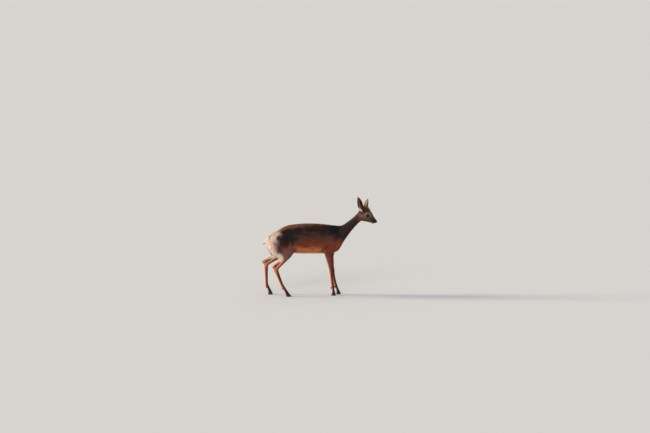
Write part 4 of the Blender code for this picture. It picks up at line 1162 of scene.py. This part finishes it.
crest_roots = {
    "place": np.stack([crest_x, crest_y, crest_z], 1) * MM @ HEAD_TURN.T + HEAD_PLACE,
    "normal": unit(np.cross(crest_lie, -crest_side)) @ HEAD_TURN.T,
    "lie": crest_lie @ HEAD_TURN.T,
    "length": crest_length * MM,
    "width": crest_draw.uniform(0.5, 0.95, CREST_HAIRS) * MM,
    "rise": np.full(CREST_HAIRS, -0.28),
    "bend": crest_draw.normal(0, 0.35, CREST_HAIRS),
}
crest = Layers(CREST_GREY, CREST_HAIRS)
crest.lay(CREST_RUST, crest_draw.random(CREST_HAIRS))
crest.lay(CROWN, ramp(crest_x, 26, 8) * 0.8)
crest.rows *= crest_draw.uniform(0.75, 1.25, CREST_HAIRS)[:, None]
crest_base = crest.rows
crest.lay(CREST_TIP, crest_draw.random(CREST_HAIRS) ** 2)
# Each crest hair is painted darker at its root: painted shade within the tuft.
crest_colours = np.stack([crest_base * 0.6] * 3 + [crest_base] * 3 + [crest.rows], 1)
crest_map = np.stack([(crest_x - CREST_REAR) / 46, (crest_y + 12) / 24.5], 1) * 0.98 + 0.01
tufts("crest", crest_roots, crest_colours, crest_map, long_hair)


# The hooves and dewclaws: black horn with fine growth rings. Each is the CAD's own solid with its
# edges worn round, and stands where that solid does.

horn = Finish("hoof_horn", Specular_IOR_Level=0.3)
where = horn.node("ShaderNodeTexCoord", output=3)
height = horn.node("ShaderNodeSeparateXYZ", output=2, Vector=where)
rings = horn.node(
    "ShaderNodeTexWave", {"wave_type": "BANDS", "bands_direction": "Z"}, output=1,
    Vector=where, Scale=230.0, Distortion=2.2, Detail=2.0,
)
upright = horn.node("ShaderNodeMapping", Vector=where, Scale=(1400.0, 1400.0, 140.0))
fibres = horn.node("ShaderNodeTexNoise", Vector=upright, Scale=1.0, Detail=2.0)
dusty = horn.node("ShaderNodeMapRange", Value=height, i1=0.0, i2=0.007, i3=1.0, i4=0.0)
horn.into(
    "Base Color",
    horn.node(
        "ShaderNodeMix", {"data_type": "RGBA"}, output=2, i0=dusty * 0.35 + fibres * 0.1,
        i6=(0.012, 0.0105, 0.01, 1.0), i7=(0.085, 0.066, 0.05, 1.0),
    ),
)
horn.into("Roughness", 0.42 + rings * 0.12 + dusty * 0.25)
relief = rings * 0.5 + fibres * 0.5
horn.into("Normal", horn.node("ShaderNodeBump", Strength=0.35, Distance=0.0004, Height=relief))
HORN_VOXEL, HORN_SWELL = 0.55 * MM, 0.3 * MM
for name in [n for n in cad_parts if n.startswith(("hoof", "dewclaw"))]:
    claw = piece_from(f"horn_{name}", node_copy(name))
    fused(claw, HORN_VOXEL)
    worn = spread(read(claw.data, "co", 3), edges_of(claw.data), 12, 0.5)
    write(claw.data, worn)
    worn += read(claw.data, "normal", 3) * HORN_SWELL
    worn[:, 2] = np.maximum(worn[:, 2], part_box(name)[0].z)
    write(claw.data, worn)
    claw.data.shade_smooth()
    claw.data.materials.clear()
    claw.data.materials.append(horn.material)
    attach(claw, "root")
    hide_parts(name)
